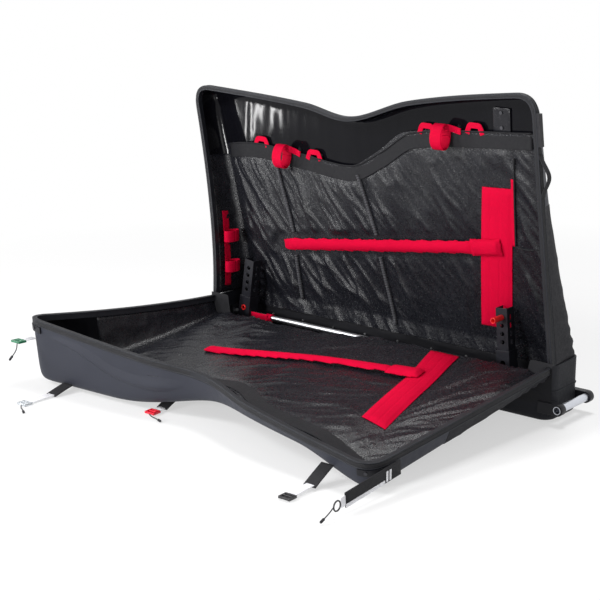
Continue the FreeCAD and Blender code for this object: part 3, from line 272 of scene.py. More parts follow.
def surface(name, colour, rough, blotch=0.06, vary=0.2, grain=0.0015, relief=0.0002, weave=0, on_uv=False,
            streak=(1, 1, 1), **sockets):
    """Material with a clouded colour, uneven gloss and a fine relief."""
    mat = bpy.data.materials.new(name)
    mat.use_nodes = True
    links = mat.node_tree.links
    shader = mat.node_tree.nodes["Principled BSDF"]
    coords = add(mat, "TexCoord")
    place = add(mat, "Mapping", {"Vector": coords.outputs["Object"], "Scale": streak}).outputs[0]
    tone = clouds(mat, place, blotch, 5.0)
    fleck = clouds(mat, place, grain, 2.0)
    scuff = clouds(mat, place, blotch / 7, 4.0)
    shade = ranged(mat, maths(mat, maths(mat, tone, scuff), 0.5, "MULTIPLY"), 0, 1)
    clouded = blended(mat, shade, rgba(colour, 1 - vary), rgba(colour, 1 + vary))
    links.new(clouded, shader.inputs["Base Color"])
    gloss = ranged(mat, scuff, max(rough - 0.07, 0.02), min(rough + 0.09, 1))
    links.new(gloss, shader.inputs["Roughness"])
    height = fleck
    if weave:
        height = maths(mat, maths(mat, woven(mat, coords, weave, on_uv), 0.5, "MULTIPLY"), fleck)
    bump = add(mat, "Bump", {"Height": height, "Strength": 0.6, "Distance": relief})
    links.new(bump.outputs[0], shader.inputs["Normal"])
    for key, value in sockets.items():
        shader.inputs[key.replace("_", " ")].default_value = value
    SKIN[name] = mat
    return mat


def seen_rays(mat):
    """1 for the rays that see the white background."""
    path = add(mat, "LightPath").outputs
    seen = maths(mat, path["Is Camera Ray"], path["Is Glossy Ray"], "MAXIMUM")
    return maths(mat, seen, path["Is Transmission Ray"], "MAXIMUM")


BLACK_GLOSS, RED_GLOSS, SHELL_GLOSS, LINING_GLOSS = 0.22, 0.06, 0.13, 0.35
INSIDE_COLOUR, INSIDE_ROUGH = (0.0035, 0.0035, 0.005, 1), 0.09


def shell_material(name, middle):
    """Satin moulding grain on the outside, gloss on the side that looks at a point in the room."""
    mat = surface(name, (0.03, 0.032, 0.042), 0.5, blotch=0.12, vary=0.1, grain=0.0016, relief=0.0003,
                  Specular_IOR_Level=SHELL_GLOSS)
    links = mat.node_tree.links
    shader = mat.node_tree.nodes["Principled BSDF"]
    colour, rough, normal = (shader.inputs[key] for key in ("Base Color", "Roughness", "Normal"))
    coords = add(mat, "TexCoord").outputs
    to_middle = add(mat, "VectorMath", {0: middle, 1: coords["Object"]}, operation="SUBTRACT").outputs[0]
    facing = add(mat, "VectorMath", {0: to_middle, 1: coords["Normal"]}, operation="DOT_PRODUCT")
    inside = maths(mat, facing.outputs["Value"], 0.0, "GREATER_THAN")
    outside = maths(mat, 1.0, inside, "SUBTRACT")
    links.new(blended(mat, inside, colour.links[0].from_socket, INSIDE_COLOUR), colour)
    satin = maths(mat, rough.links[0].from_socket, outside, "MULTIPLY")
    links.new(maths(mat, satin, maths(mat, inside, INSIDE_ROUGH, "MULTIPLY")), rough)
    squeezed = add(mat, "Mapping", {"Vector": coords["Object"], "Scale": (1.0, 1.0, 0.25)}).outputs[0]
    wave = maths(mat, clouds(mat, squeezed, 0.07, 1.0), inside, "MULTIPLY")
    waves = add(mat, "Bump", {"Height": wave, "Strength": 0.5, "Distance": 0.006})
    grain = normal.links[0].from_node
    links.new(maths(mat, outside, 0.6, "MULTIPLY"), grain.inputs["Strength"])
    links.new(waves.outputs[0], grain.inputs["Normal"])


def black(name, colour, rough, **looks):
    surface(name, colour, rough, Specular_IOR_Level=BLACK_GLOSS, **looks)


METAL = {"blotch": 0.02, "vary": 0.08, "grain": 0.0006, "relief": 0.00006, "Metallic": 1.0}
RED_CLOTH = {"vary": 0.07, "Specular_IOR_Level": RED_GLOSS}
WEB = {"weave": 0.0022, "on_uv": True, "relief": 0.0005}
black("shell_fabric", (0.011, 0.011, 0.014), 0.66, weave=0.0016, relief=0.0004)
black("rim", (0.014, 0.015, 0.019), 0.46, grain=0.001)
black("base", (0.008, 0.0085, 0.012), 0.6, weave=0.0018, relief=0.0004)
black("foot", (0.02, 0.02, 0.02), 0.8)
black("board", (0.008, 0.008, 0.01), 0.45, streak=(0.15, 1, 1))
surface("steel", (0.6, 0.6, 0.62), 0.35, grain=0.0008, Metallic=1.0)
surface("rail_metal", (0.6, 0.61, 0.64), 0.33, streak=(0.03, 1, 1), **METAL)
surface("tube_metal", (0.62, 0.64, 0.69), 0.34, streak=(1, 0.03, 1), **METAL)
black("black_plastic", (0.013, 0.013, 0.016), 0.42, grain=0.0009)
black("tyre", (0.02, 0.02, 0.021), 0.75, grain=0.002, relief=0.0004)
black("stand", (0.012, 0.012, 0.016), 0.38, blotch=0.03, grain=0.0009, relief=0.0001)
surface("red_plastic", (0.8, 0.02, 0.02), 0.34, vary=0.08, grain=0.0008, relief=0.0001)
surface("lining", (0.008, 0.0083, 0.0115), 0.27, blotch=0.05, vary=0.25, grain=0.004, relief=0.00025,
        weave=0.0012, Specular_IOR_Level=LINING_GLOSS)
black("hem", (0.01, 0.01, 0.012), 0.7, weave=0.0014, relief=0.0003)
black("piping", (0.05, 0.05, 0.056), 0.42, grain=0.002, relief=0.0005, weave=0.0024)
surface("red_pad", (0.56, 0.001, 0.03), 0.82, weave=0.0017, relief=0.0003, **RED_CLOTH)
surface("red_web", (0.56, 0.001, 0.03), 0.72, **WEB, **RED_CLOTH)
black("plate", (0.012, 0.012, 0.015), 0.22)
black("rivet", (0.05, 0.05, 0.056), 0.3, Metallic=0.6)
black("black_web", (0.016, 0.016, 0.018), 0.75, **WEB)
surface("white_web", (0.74, 0.74, 0.77), 0.75, vary=0.08, **WEB)
surface("green_plastic", (0.02, 0.14, 0.07), 0.35)
surface("clear_plastic", (0.72, 0.75, 0.78), 0.18, vary=0.06, Transmission_Weight=0.55, IOR=1.49)
surface("red_buckle", (0.72, 0.008, 0.03), 0.3, vary=0.08)
surface("black_buckle", (0.018, 0.018, 0.02), 0.35)
black("cord", (0.04, 0.04, 0.045), 0.7, blotch=0.01, vary=0.4, grain=0.0012, relief=0.0005)
black("zip", (0.012, 0.012, 0.014), 0.55, weave=0.0032, on_uv=True, relief=0.0009)
shell_material("rear_shell", (-0.08, -0.35, 0.56))
shell_material("front_shell", (-0.08, -0.45, 0.6))

SKIN_NODES = {
    "rear_shell": "rear_cap", "front_shell": "front_cap", "rim": "rear_rim front_rim", "base": "base_tub",
    "foot": "base_feet", "board": "rivet_board", "steel": "board_screws wheel_axles", "rail_metal": "rail",
    "tube_metal": "grab_tube", "tyre": "wheel_tyre_front wheel_tyre_rear",
    "black_plastic": "rail_blocks grab_holders wheel_brackets wheel_hub_front wheel_hub_rear end_buckle"
                     " corner_guard_left corner_guard_right",
    "stand": "stand_shoe_left stand_shoe_right stand_post_left stand_post_right",
    "red_plastic": "axle_sleeve_left axle_sleeve_right", "plate": "cap_plate",
    "rivet": "cap_rivets corner_rivets", "black_buckle": "strap_ring",
}
UNBEVELLED = (
    "rear_cap front_cap rear_rim front_rim base_tub base_feet wheel_axles rail grab_tube strap_ring").split()
for skin, names in SKIN_NODES.items():
    for name in names.split():
        for holder in NODES[name].material_slots:
            holder.material = SKIN[skin]
        if name in UNBEVELLED:
            continue
        weld = NODES[name].modifiers.new("weld", "WELD")
        weld.merge_threshold = 0.00002
        edge = NODES[name].modifiers.new("edge", "BEVEL")
        edge.width = 0.0008 if "post" in name or "sleeve" in name else 0.0012
        edge.segments = 2
        edge.limit_method = "ANGLE"
        edge.angle_limit = math.radians(35)
        edge.harden_normals = True

# Meshes


def piece(name, mesh_data, skin, body, stands_for=(), uvs=None, closed=True):
    """New object of the part: its mesh, finish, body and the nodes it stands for."""
    verts, faces = mesh_data
    mesh = bpy.data.meshes.new(name)
    mesh.from_pydata(verts, [], faces)
    if uvs:
        layer = mesh.uv_layers.new(name="UVMap")
        for loop in mesh.loops:
            layer.data[loop.index].uv = uvs[loop.vertex_index]
    if closed:
        work = bmesh.new()
        work.from_mesh(mesh)
        bmesh.ops.recalc_face_normals(work, faces=work.faces)
        work.to_mesh(mesh)
        work.free()
    mesh.shade_smooth()
    mesh.materials.append(SKIN[skin])
    obj = bpy.data.objects.new(name, mesh)
    SCENE.collection.objects.link(obj)
    if body:
        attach(obj, body)
    if stands_for:
        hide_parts(*stands_for)
    return obj


def grid(rows, wrap=False):
    """Points and quads of rows of points."""
    count = len(rows[0])
    faces = []
    for row in range(len(rows) - 1):
        for column in range(count if wrap else count - 1):
            after = (column + 1) % count
            faces.append((row * count + column, row * count + after,
                          (row + 1) * count + after, (row + 1) * count + column))
    return [point for row in rows for point in row], faces


def shell(outer, inner):
    """Closed skin between two grids with the same rows and columns."""
    verts, faces = grid(outer)
    more, back = grid(inner)
    shift = len(verts)
    faces += [tuple(index + shift for index in face[::-1]) for face in back]
    rows, count = len(outer), len(outer[0])
    border = [(0, c) for c in range(count)] + [(r, count - 1) for r in range(1, rows)]
    border += [(rows - 1, c) for c in range(count - 2, -1, -1)] + [(r, 0) for r in range(rows - 2, 0, -1)]
    ring = [r * count + c for r, c in border]
    for first, second in zip(ring, ring[1:] + ring[:1]):
        faces.append((second, first, first + shift, second + shift))
    return verts + more, faces


def joined(*meshes):
    """Several meshes as one."""
    verts, faces = [], []
    for points, quads in meshes:
        faces += [tuple(index + len(verts) for index in quad) for quad in quads]
        verts += points
    return verts, faces


def flow(points, steps=8):
    """Smooth line of points through the given ones."""
    ends = [points[0] * 2 - points[1]] + list(points) + [points[-1] * 2 - points[-2]]
    line = []
    for a, b, c, d in zip(ends, ends[1:], ends[2:], ends[3:]):
        for t in spread(0, 1, steps + 1)[:-1]:
            line.append(0.5 * (2 * b + (c - a) * t + (2 * a - 5 * b + 4 * c - d) * t * t
                               + (3 * b - a - 3 * c + d) * t ** 3))
    return line + [points[-1]]


def rod(rows):
    """Points and faces of a solid from rings of points."""
    verts, faces = grid(rows, wrap=True)
    count = len(rows[0])
    return verts, faces + [tuple(range(count))[::-1], tuple(range(len(verts) - count, len(verts)))]


def ahead_at(points, index):
    """Direction of a line at one of its points."""
    return (points[min(index + 1, len(points) - 1)] - points[max(index - 1, 0)]).normalized()


RIBBON_TOP = (
    (-0.5, 0.3), (-0.48, 0.8), (-0.44, 1), (-0.25, 1), (0, 1), (0.25, 1), (0.44, 1), (0.48, 0.8), (0.5, 0.3))
RIBBON_SECTION = RIBBON_TOP + tuple((u, -v) for u, v in RIBBON_TOP[::-1])


def ribbon(points, across, width, thick):
    """Strip of webbing with soft edges along points in metres, with its UVs in metres."""
    rows, uvs = [], []
    run = 0
    for index, point in enumerate(points):
        ahead = ahead_at(points, index)
        side = across[index] if isinstance(across, list) else across
        up = ahead.cross(side).normalized()
        side = up.cross(ahead)
        run += (point - points[max(index - 1, 0)]).length
        rows.append([point + side * (u * width) + up * (v * thick / 2) for u, v in RIBBON_SECTION])
        uvs += [(run, u * width) for u, v in RIBBON_SECTION]
    return *rod(rows), uvs


def webbing(name, strips, skin, body, stands_for=()):
    """One piece from several ribbons."""
    uvs = [uv for strip in strips for uv in strip[2]]
    return piece(name, joined(*[strip[:2] for strip in strips]), skin, body, stands_for, uvs)


def tube(points, radius, sides=10):
    """Round cord-like trim along points; radius may be one number or one for each point."""
    rows = []
    turns = spread(0, FULL_TURN, sides + 1)[:-1]
    for index, point in enumerate(points):
        ahead = ahead_at(points, index)
        side = ahead.cross(Z_AXIS)
        if side.length < 0.1:
            side = ahead.cross(Y_AXIS)
        side.normalize()
        up = side.cross(ahead)
        size = radius[index] if isinstance(radius, list) else radius
        rows.append([point + side * (size * math.cos(t)) + up * (size * math.sin(t)) for t in turns])
    return rod(rows)


# Camera, from the photograph's vanishing lines and the object's size

AZIMUTH, ELEVATION = math.radians(39.68), math.radians(14.57)
right = Vector((math.cos(AZIMUTH), math.sin(AZIMUTH), 0))
back = Vector((math.sin(AZIMUTH) * math.cos(ELEVATION), -math.cos(AZIMUTH) * math.cos(ELEVATION),
               math.sin(ELEVATION)))
camera = bpy.data.objects.new("camera", bpy.data.cameras.new("camera"))
camera.data.lens = 90
camera.data.sensor_width = 36
camera.matrix_world = Matrix((right, back.cross(right), back)).transposed().to_4x4()
camera.location = (2.481, -3.3724, 1.3113)
SCENE.collection.objects.link(camera)
SCENE.camera = camera

# Cord pulls: the routes of part.py, in metres

PULLS = {
    "green": ((-0.711, -0.768, 0.1356), (-0.711, -0.769, 0.123), (-0.712, -0.775, 0.111),
              (-0.715, -0.783, 0.101)),
    "clear": ((-0.585, -0.8668, 0.0048), (-0.573, -0.879, 0.0036), (-0.558, -0.886, 0.0038),
              (-0.544, -0.895, 0.0044)),
    "red": ((-0.262, -0.6975, 0.0048), (-0.247, -0.705, 0.0034), (-0.230, -0.708, 0.0038),
            (-0.213, -0.714, 0.0044)),
    "ring": ((0.555, -0.9365, 0.027), (0.555, -0.9458, 0.021), (0.555, -0.9568, 0.016),
             (0.556, -0.9688, 0.0125)),
}
CORD_THICK = 0.003
BEAD_PROFILE = (
    (0, 0.0022), (0.0008, 0.003), (0.002, 0.0035), (0.004, 0.0035), (0.005, 0.0031), (0.006, 0.0035),
    (0.0075, 0.0031), (0.0085, 0.0035), (0.013, 0.0033), (0.015, 0.0025), (0.016, 0.0012))
for name, route in PULLS.items():
    line = bpy.data.curves.new(f"cord_{name}", "CURVE")
    line.dimensions = "3D"
    line.bevel_depth = CORD_THICK / 2
    line.bevel_resolution = 4
    line.resolution_u = 16
    line.use_fill_caps = True
    spline = line.splines.new("NURBS")
    spline.points.add(len(route) - 1)
    for point, place in zip(spline.points, route):
        point.co = (*place, 1)
    spline.order_u = 3
    spline.use_endpoint_u = True
    line.materials.append(SKIN["cord"])
    cord = bpy.data.objects.new(f"cord_{name}", line)
    SCENE.collection.objects.link(cord)
    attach(cord, "front_half")
    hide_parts(f"pull_{name}")
    heading = (Vector(route[-1]) - Vector(route[-2])).normalized()
    spine = [Vector(route[-1]) + heading * run for run, radius in BEAD_PROFILE]
    bead = piece(f"bead_{name}", tube(spine, [radius for run, radius in BEAD_PROFILE], 20), "black_plastic",
                 "front_half", ("pull_beads",))

# Linings: hung sheets with creases drawn from the seams


def crease(across, along, seed):
    """Sharp ridge lines of crumpled cloth, 0 to 1."""
    value = noise.noise(Vector((across, along, seed)))
    return max(1 - 2.4 * abs(value), 0) ** 2


def near_line(x, h, start, end, reach):
    """1 on a line between two points, falling to 0 at a reach from it."""
    run = (end[0] - start[0], end[1] - start[1])
    share = ((x - start[0]) * run[0] + (h - start[1]) * run[1]) / (run[0] ** 2 + run[1] ** 2)
    share = min(max(share, 0), 1)
    gap = math.hypot(x - start[0] - share * run[0], h - start[1] - share * run[1])
    return 1 - smooth(gap / reach - 1)


def at_shares(*shares):
    """Points in millimetres from shares of a half's length and height."""
    return [(HALF_LENGTH * x, LEFT_HEIGHT * h) for x, h in shares]


PANELS = {
    "rear": at_shares((0.497, 0.057), (0.667, 0.063), (0.572, 0.696), (0.742, 0.705)),
    "front": at_shares((0.388, 0.03), (0.542, 0.03), (0.562, 0.741), (0.683, 0.741)),
}
BARS = {
    "rear": at_shares((-0.685, 0.265), (0.662, 0.44)),
    "front": at_shares((-0.68, 0.388), (0.52, 0.276)),
}
BATTENS = [at_shares(*ends) for ends in (
    ((-0.705, 0.64), (-0.614, 0.332)), ((-0.608, 0.222), (-0.595, 0.003)),
    ((-0.16, 0.665), (-0.067, 0.394)), ((-0.055, 0.292), (-0.007, -0.03)))]
PANEL_HOLD, BAR_HOLD, BATTEN_HOLD, HEM_HOLD = 38, 26, 9, 62


def held_flat(half, x, h):
    """How far the pads and channels hold a lining flat, 0 to 1."""
    corners = PANELS[half.name]
    middle = [[(a + b) / 2 for a, b in zip(corners[end], corners[end + 1])] for end in (0, 2)]
    held = near_line(x, h, *middle, PANEL_HOLD)
    held = max(held, near_line(x, h, *BARS[half.name], BAR_HOLD))
    if half is REAR:
        held = max([held] + [near_line(x, h, *ends, BATTEN_HOLD) for ends in BATTENS])
    return max(held, smooth((h - hem(half, x) + HEM_HOLD) / 22))


# Creases of the linings: height in millimetres, lean, width, length and seed

CREASES = ((8, 0, 62, 210, 1.5), (4.5, 0.25, 27, 95, 7.5), (0.9, -0.4, 13, 40, 12.5))


def crumple(half, x, h):
    """Height of the creases in a lining, in millimetres."""
    share = x / HALF_LENGTH
    warp = 26 * noise.noise(Vector((x / 170, h / 170, 4.2)))
    if half is REAR:
        lively = mix(1.0, 0.42, smooth((share + 0.12) / 0.3))
        lively = max(lively, 0.8 * smooth((share - 0.74) / 0.05))
        lively *= mix(0.45, 1, smooth((h + 20) / 90))
        across, along = x + 0.5 * h + warp, h
    else:
        corner = smooth((-0.35 - share) / 0.3) * (1 - smooth((h - 120) / 160))
        end = smooth((share - 0.55) / 0.2)
        lively = max(0.34, 1.15 * corner, 0.75 * end, 0.62 * smooth((-0.6 - share) / 0.2))
        across, along = mix(h + 0.5 * x, x + h, end) + warp, x
    ridges = sum(height * crease((across + lean * along) / width, along / length, seed)
                 for height, lean, width, length, seed in CREASES)
    soft = noise.noise(Vector((x / 85, h / 110, 21.0)))
    return (lively * ridges + 2.5 * lively * soft) * (1 - 0.9 * held_flat(half, x, h))


LINING_COLUMNS, LINING_ROWS = 250, 120
LINING_BOTTOMS = {"rear": -43, "front": 7}
HEM_WIDTH, HEM_THICK, HEM_ROLL, HEM_STATIONS = 0.044, 0.0012, 0.0026, 120


def lining_sheet(half):
    """The lining of a half, with the band and the roll of its hem."""
    rows = []
    bottom = LINING_BOTTOMS[half.name]
    for climb in spread(0, 1, LINING_ROWS):
        row = []
        for share in spread(0, 1, LINING_COLUMNS):
            x = mix(*lining_ends(CAP_START * climb), share)
            h = mix(bottom, hem(half, x), climb)
            x = mix(*lining_ends(h), share)
            edge = smooth(min(share, 1 - share) / 0.03)
            row.append(spot(half, x, h, lining_face(half, x, h) - crumple(half, x, h) * edge))
        rows.append(row)
    sheet = piece(f"{half.name}_lining_sheet", grid(rows), "lining", half.body,
                  (f"{half.name}_liner",), closed=False)
    stations = spread(lining_ends(400)[0] + 3, lining_ends(600)[1] - 3, HEM_STATIONS)
    line = [spot(half, x, hem(half, x) - 22, lining_face(half, x, hem(half, x) - 22) - 1.6) for x in stations]
    band = webbing(f"{half.name}_hem_band", [ribbon(line, half.up, HEM_WIDTH, HEM_THICK)], "hem", half.body)
    edge = [spot(half, x, hem(half, x) - 1, lining_face(half, x, hem(half, x)) - 0.6) for x in stations]
    roll = piece(f"{half.name}_hem_roll", tube(edge, HEM_ROLL, 8), "hem", half.body)
    return sheet, band, roll


# Flat width and height of each lining in metres, and its area in square metres

SHEET_CUTS = {"rear": (1.29, 0.66, 0.68), "front": (1.29, 0.62, 0.63)}
for half in (REAR, FRONT):
    sheet, band, roll = lining_sheet(half)
    width, length, cut = SHEET_CUTS[half.name]

# Pocket at the right of the rear lining, with a red zip tape


def on_lining(points, lift):
    """Points over the rear lining's front."""
    return [spot(REAR, x, h, lining_face(REAR, x, h) - lift) for x, h in points]


POCKET_FOOT = 288
shares = spread(0, 1, 40)
tape = on_lining([(mix(433, 447, share), mix(POCKET_FOOT, 522, share)) for share in shares], 4.2)[:32]
webbing("pocket_tape", [ribbon(tape, X_AXIS, 0.0075, 0.0014)], "red_web", "rear_half")
side = on_lining([(mix(440, 454, share), mix(POCKET_FOOT, 530, share)) for share in shares], 4.2)
foot = on_lining([(x, POCKET_FOOT + 4 * math.sin(x / 20)) for x in spread(440, 530, 30)], 4.4)
piece("pocket_seams", joined(tube(side, 0.0024), tube(foot, 0.0022)), "hem", "rear_half")

# Soft lower shells: foam-backed fabric with folds near the hinge


def wall_profile(half, x, h, way):
    """Outside and inside of an end wall as (inset, depth) points from the rim to the back."""
    depth = half.depth(x + way * (DRAFT + EDGE_RADIUS), h)
    radius = min(EDGE_RADIUS, 0.45 * (depth - RIM_BACK))
    flat = depth - radius
    middle = (RIM_BACK + flat) / 2
    share = 1 - math.sqrt(0.5)
    return [((wall, RIM_BACK), (DRAFT / 2 + wall, middle), (DRAFT + wall, flat),
             (DRAFT + wall + share * (radius - wall), depth - wall - share * (radius - wall)),
             (DRAFT + radius, depth - wall)) for wall in (0, SHELL_WALL)]


def end_wall(half, x, h, way):
    """Outside and inside of an end wall as smooth rows of (x, depth) points."""
    return [[(x + way * point.x, point.y) for point in flow([Vector((*knot, 0)) for knot in profile], 4)]
            for profile in wall_profile(half, x, h, way)]


def pushed(rows, height):
    """Rows moved along their own normals by a height in metres for each point."""
    moved = []
    for r, row in enumerate(rows):
        line = []
        for c, point in enumerate(row):
            along = row[min(c + 1, len(row) - 1)] - row[max(c - 1, 0)]
            climb = rows[min(r + 1, len(rows) - 1)][c] - rows[max(r - 1, 0)][c]
            line.append(point + along.cross(climb).normalized() * height(point, r, c))
        moved.append(line)
    return moved


SHELL_ROWS, SHELL_COLUMNS, CAP_GAP = 64, 110, 0.15


def fabric_shell(half, start):
    """Soft shell of a half from a height over the hinge up to the hard cap."""
    outer, inner = [], []
    for h in spread(start, CAP_START - CAP_GAP, SHELL_ROWS):
        out_row, in_row = end_wall(half, left_edge(h), h, 1)
        out_end, in_end = end_wall(half, right_edge(h), h, -1)
        for x in spread(out_row[-1][0], out_end[-1][0], SHELL_COLUMNS)[1:-1]:
            out_row.append((x, half.depth(x, h)))
            in_row.append((x, half.depth(x, h) - SHELL_WALL))
        outer.append([spot(half, x, h, depth) for x, depth in out_row + out_end[::-1]])
        inner.append([spot(half, x, h, depth) for x, depth in in_row + in_end[::-1]])
    rows, columns = len(outer), len(outer[0])

    def folds(point, r, c):
        """Folds outside, with bellows by the hinge at the right end."""
        hinge = 1 - smooth(r / rows / 0.45)
        swell = noise.noise(point * 9 + Vector((3, 1, 7)))
        pull = crease(point.x * 14 + point.z * 9, point.y * 9 + point.z * 12, 2.5)
        bellow = math.sin(r * 1.15 + 2.2 * noise.noise(point * 6)) * smooth((point.x - 0.42) / 0.12)
        edge = smooth(min(c, columns - 1 - c) / 5) * smooth(min(r, rows - 1 - r) / 3)
        return -half.side * MM * edge * (1.1 * swell + 1.6 * pull + hinge * 2.4 * bellow)

    def gathers(point, r, c):
        """Pleats in the lining of the end walls."""
        in_from_edge = min(c, columns - 1 - c)
        wall = 1 - smooth((in_from_edge - 9) / 5)
        edge = smooth(in_from_edge / 2) * smooth(min(r, rows - 1 - r) / 3)
        pull = crease(point.x * 21 + point.z * 24, point.y * 16, 5.5)
        fine = crease(point.x * 60 + point.z * 70, point.y * 52, 8.5)
        return half.side * MM * wall * edge * (2.6 * pull + 1.1 * fine)

    skins = shell(pushed(outer, folds), pushed(inner, gathers))
    obj = piece(f"{half.name}_fabric_shell", skins, "shell_fabric", half.body,
                (f"{half.name}_fabric",))
    obj.data.materials.append(SKIN["lining"])
    side = (rows - 1) * (columns - 1)
    for face in obj.data.polygons[side:2 * side]:
        face.material_index = 1


REAR_START, FRONT_START = 0.3, 3.5
fabric_shell(REAR, REAR_START)
fabric_shell(FRONT, FRONT_START)

# S-shaped step moulded into the outside of the front half's long wall

STEP_LINE = (
    (-664, 152), (-608, 149), (-526, 129), (-467, 106), (-408, 86), (-331, 74), (-255, 75), (-180, 88),
    (-125, 102))
STEP_BELOW, STEP_ABOVE, STEP_RISE = 9, 36, 5.5
STEP_SINK, STEP_BACK, STEP_FADE, RIM_SLOPE = 0.8, 1.6, 24, 0.042


def on_front_wall(x, z, out):
    """Point on the outside of the front half's long wall at a height above the floor."""
    top = top_edge(x)
    c, s = math.cos(FRONT.turn), math.sin(FRONT.turn)
    depth = (HINGE_Z - z + top * c) / s + twist(x, top)
    full = FRONT.depth(x, top)
    radius = min(EDGE_RADIUS, 0.45 * (full - RIM_BACK))
    inset = DRAFT * (depth - RIM_BACK) / (full - radius - RIM_BACK)
    return spot(FRONT, x, top - inset + out, depth)


outer, inner = [], []
line = flow([Vector((x, z, 0)) for x, z in STEP_LINE], 12)
for index, point in enumerate(line):
    fade = smooth(min(index, len(line) - 1 - index) / STEP_FADE)
    outer_row, inner_row = [], []
    top = top_edge(point.x)
    rim_height = HINGE_Z + twist(point.x, top) - RIM_BACK - RIM_SLOPE * top
    reach = min(STEP_ABOVE, rim_height - 2 - point.y)
    for share in spread(0, 1, 17):
        z = point.y + mix(-STEP_BELOW, reach, share)
        rise = smooth(share / 0.3) * (1 - smooth((share - 0.3) / 0.7))
        outer_row.append(on_front_wall(point.x, z, STEP_RISE * fade * rise - STEP_SINK))
        inner_row.append(on_front_wall(point.x, z, -STEP_BACK))
    outer.append(outer_row)
    inner.append(inner_row)
piece("front_wall_step", shell(outer, inner), "front_shell", "front_half")

# Apron of the hinge: one sheet from the tub to the front half

APRON_Y, APRON_END, APRON_RISE, APRON_TOP = -0.0818, 604, 524, 0.169
rows = []
low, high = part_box("hinge_apron")
for x in spread(-APRON_END, APRON_END, 180):
    edge = min(spot(FRONT, x, FRONT_START, front_depth(x, FRONT_START)).z - 0.0008, high.z)
    top = mix(edge, APRON_TOP, smooth((abs(x) - APRON_RISE) / 14))
    line = []
    for share in spread(0, 1, 16):
        height = mix(low.z + 0.001, top, share)
        sag = 0.0035 * math.sin(math.pi * share) * (0.6 + 0.4 * math.sin(x / 47))
        ripple = 0.0012 * noise.noise(Vector((x / 30, share * 3, 5.0)))
        line.append(Vector((x * MM, APRON_Y - sag * 0.3 + ripple, height)))
    rows.append(line)
apron = piece("hinge_apron_sheet", grid(rows), "hem", None, ("hinge_apron",), closed=False)
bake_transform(apron)

# Red pads


def pad_rows(half, corners, lift_ends, thick, columns, length_rows):
    """Front and back grids of a crowned pad with rounded ends and sides."""
    front, rear = [], []
    for along in spread(0, 1, length_rows):
        low = [mix(a, b, along) for a, b in zip(corners[0], corners[2])]
        high = [mix(a, b, along) for a, b in zip(corners[1], corners[3])]
        lift = mix(*lift_ends, smooth(along))
        front_row, rear_row = [], []
        for across in spread(0, 1, columns):
            x, h = mix(low[0], high[0], across), mix(low[1], high[1], across)
            depth = lining(half, x, h) - lift
            side = smooth(min(across, 1 - across) / 0.16)
            end = smooth(min(along, 1 - along) * length_rows / 4)
            crown = 0.45 + 0.55 * (1 - (2 * across - 1) ** 2)
            rear_row.append(spot(half, x, h, depth))
            bulge = max(thick * crown * (0.35 + 0.65 * min(side, end)), 0.6)
            front_row.append(spot(half, x, h, depth - bulge))
        front.append(front_row)
        rear.append(rear_row)
    return front, rear


def bar_corners(start, end, width):
    """Corners of a straight strip between two points."""
    run = (end[0] - start[0], end[1] - start[1])
    length = math.hypot(*run)
    side = (-run[1] / length * width / 2, run[0] / length * width / 2)
    return [[p + sign * q for p, q in zip(point, side)] for point in (start, end) for sign in (1, -1)]


def rounded(obj):
    subdivide = obj.modifiers.new("subdivide", "SUBSURF")
    subdivide.levels = subdivide.render_levels = 1


def final_mesh(obj):
    return bpy.data.meshes.new_from_object(obj.evaluated_get(bpy.context.evaluated_depsgraph_get()))


CLOTH_STEPS, CLOTH_SWELL = 20, 0.0024


def cloth_swell(obj, half, voxel):
    """Blow a pad up with a short cloth run, of which the swell off the lining is kept."""
    remesh = obj.modifiers.new("remesh", "REMESH")
    remesh.mode = "VOXEL"
    remesh.voxel_size = voxel
    remesh.use_smooth_shade = True
    even = final_mesh(obj)
    obj.modifiers.clear()
    obj.data = even
    cloth = obj.modifiers.new("cloth", "CLOTH")
    cloth.settings.quality = 5
    cloth.settings.use_pressure = True
    cloth.settings.uniform_pressure_force = 1.2
    cloth.settings.bending_stiffness = 4
    cloth.settings.effector_weights.gravity = 0
    for step in range(1, CLOTH_STEPS + 1):
        SCENE.frame_set(step)
    blown = final_mesh(obj)
    obj.modifiers.clear()
    SCENE.frame_set(1)
    for vertex, goal in zip(even.vertices, blown.vertices):
        swell = (goal.co - vertex.co).dot(half.inward)
        vertex.co += half.inward * min(max(swell, 0), CLOTH_SWELL)
    even.shade_smooth()


def soft_pad(name, half, rows, voxel, node):
    """Padded bar or cuff of a half."""
    obj = piece(f"{half.name}_{name}", shell(*rows), "red_pad", half.body, (f"{half.name}_{node}",))
    cloth_swell(obj, half, voxel)
    rounded(obj)


def channels(half):
    """Sewn lines down a panel, with a low swell between them."""
    def height(point, r, c):
        sewn = min(abs(c / (PANEL_COLUMNS - 1) - line) for line in PANEL_SEAMS) * 100
        return half.side * -MM * (0.9 * (1 - smooth(sewn / 3.2)) - 0.5 * noise.noise(point * 22))
    return height


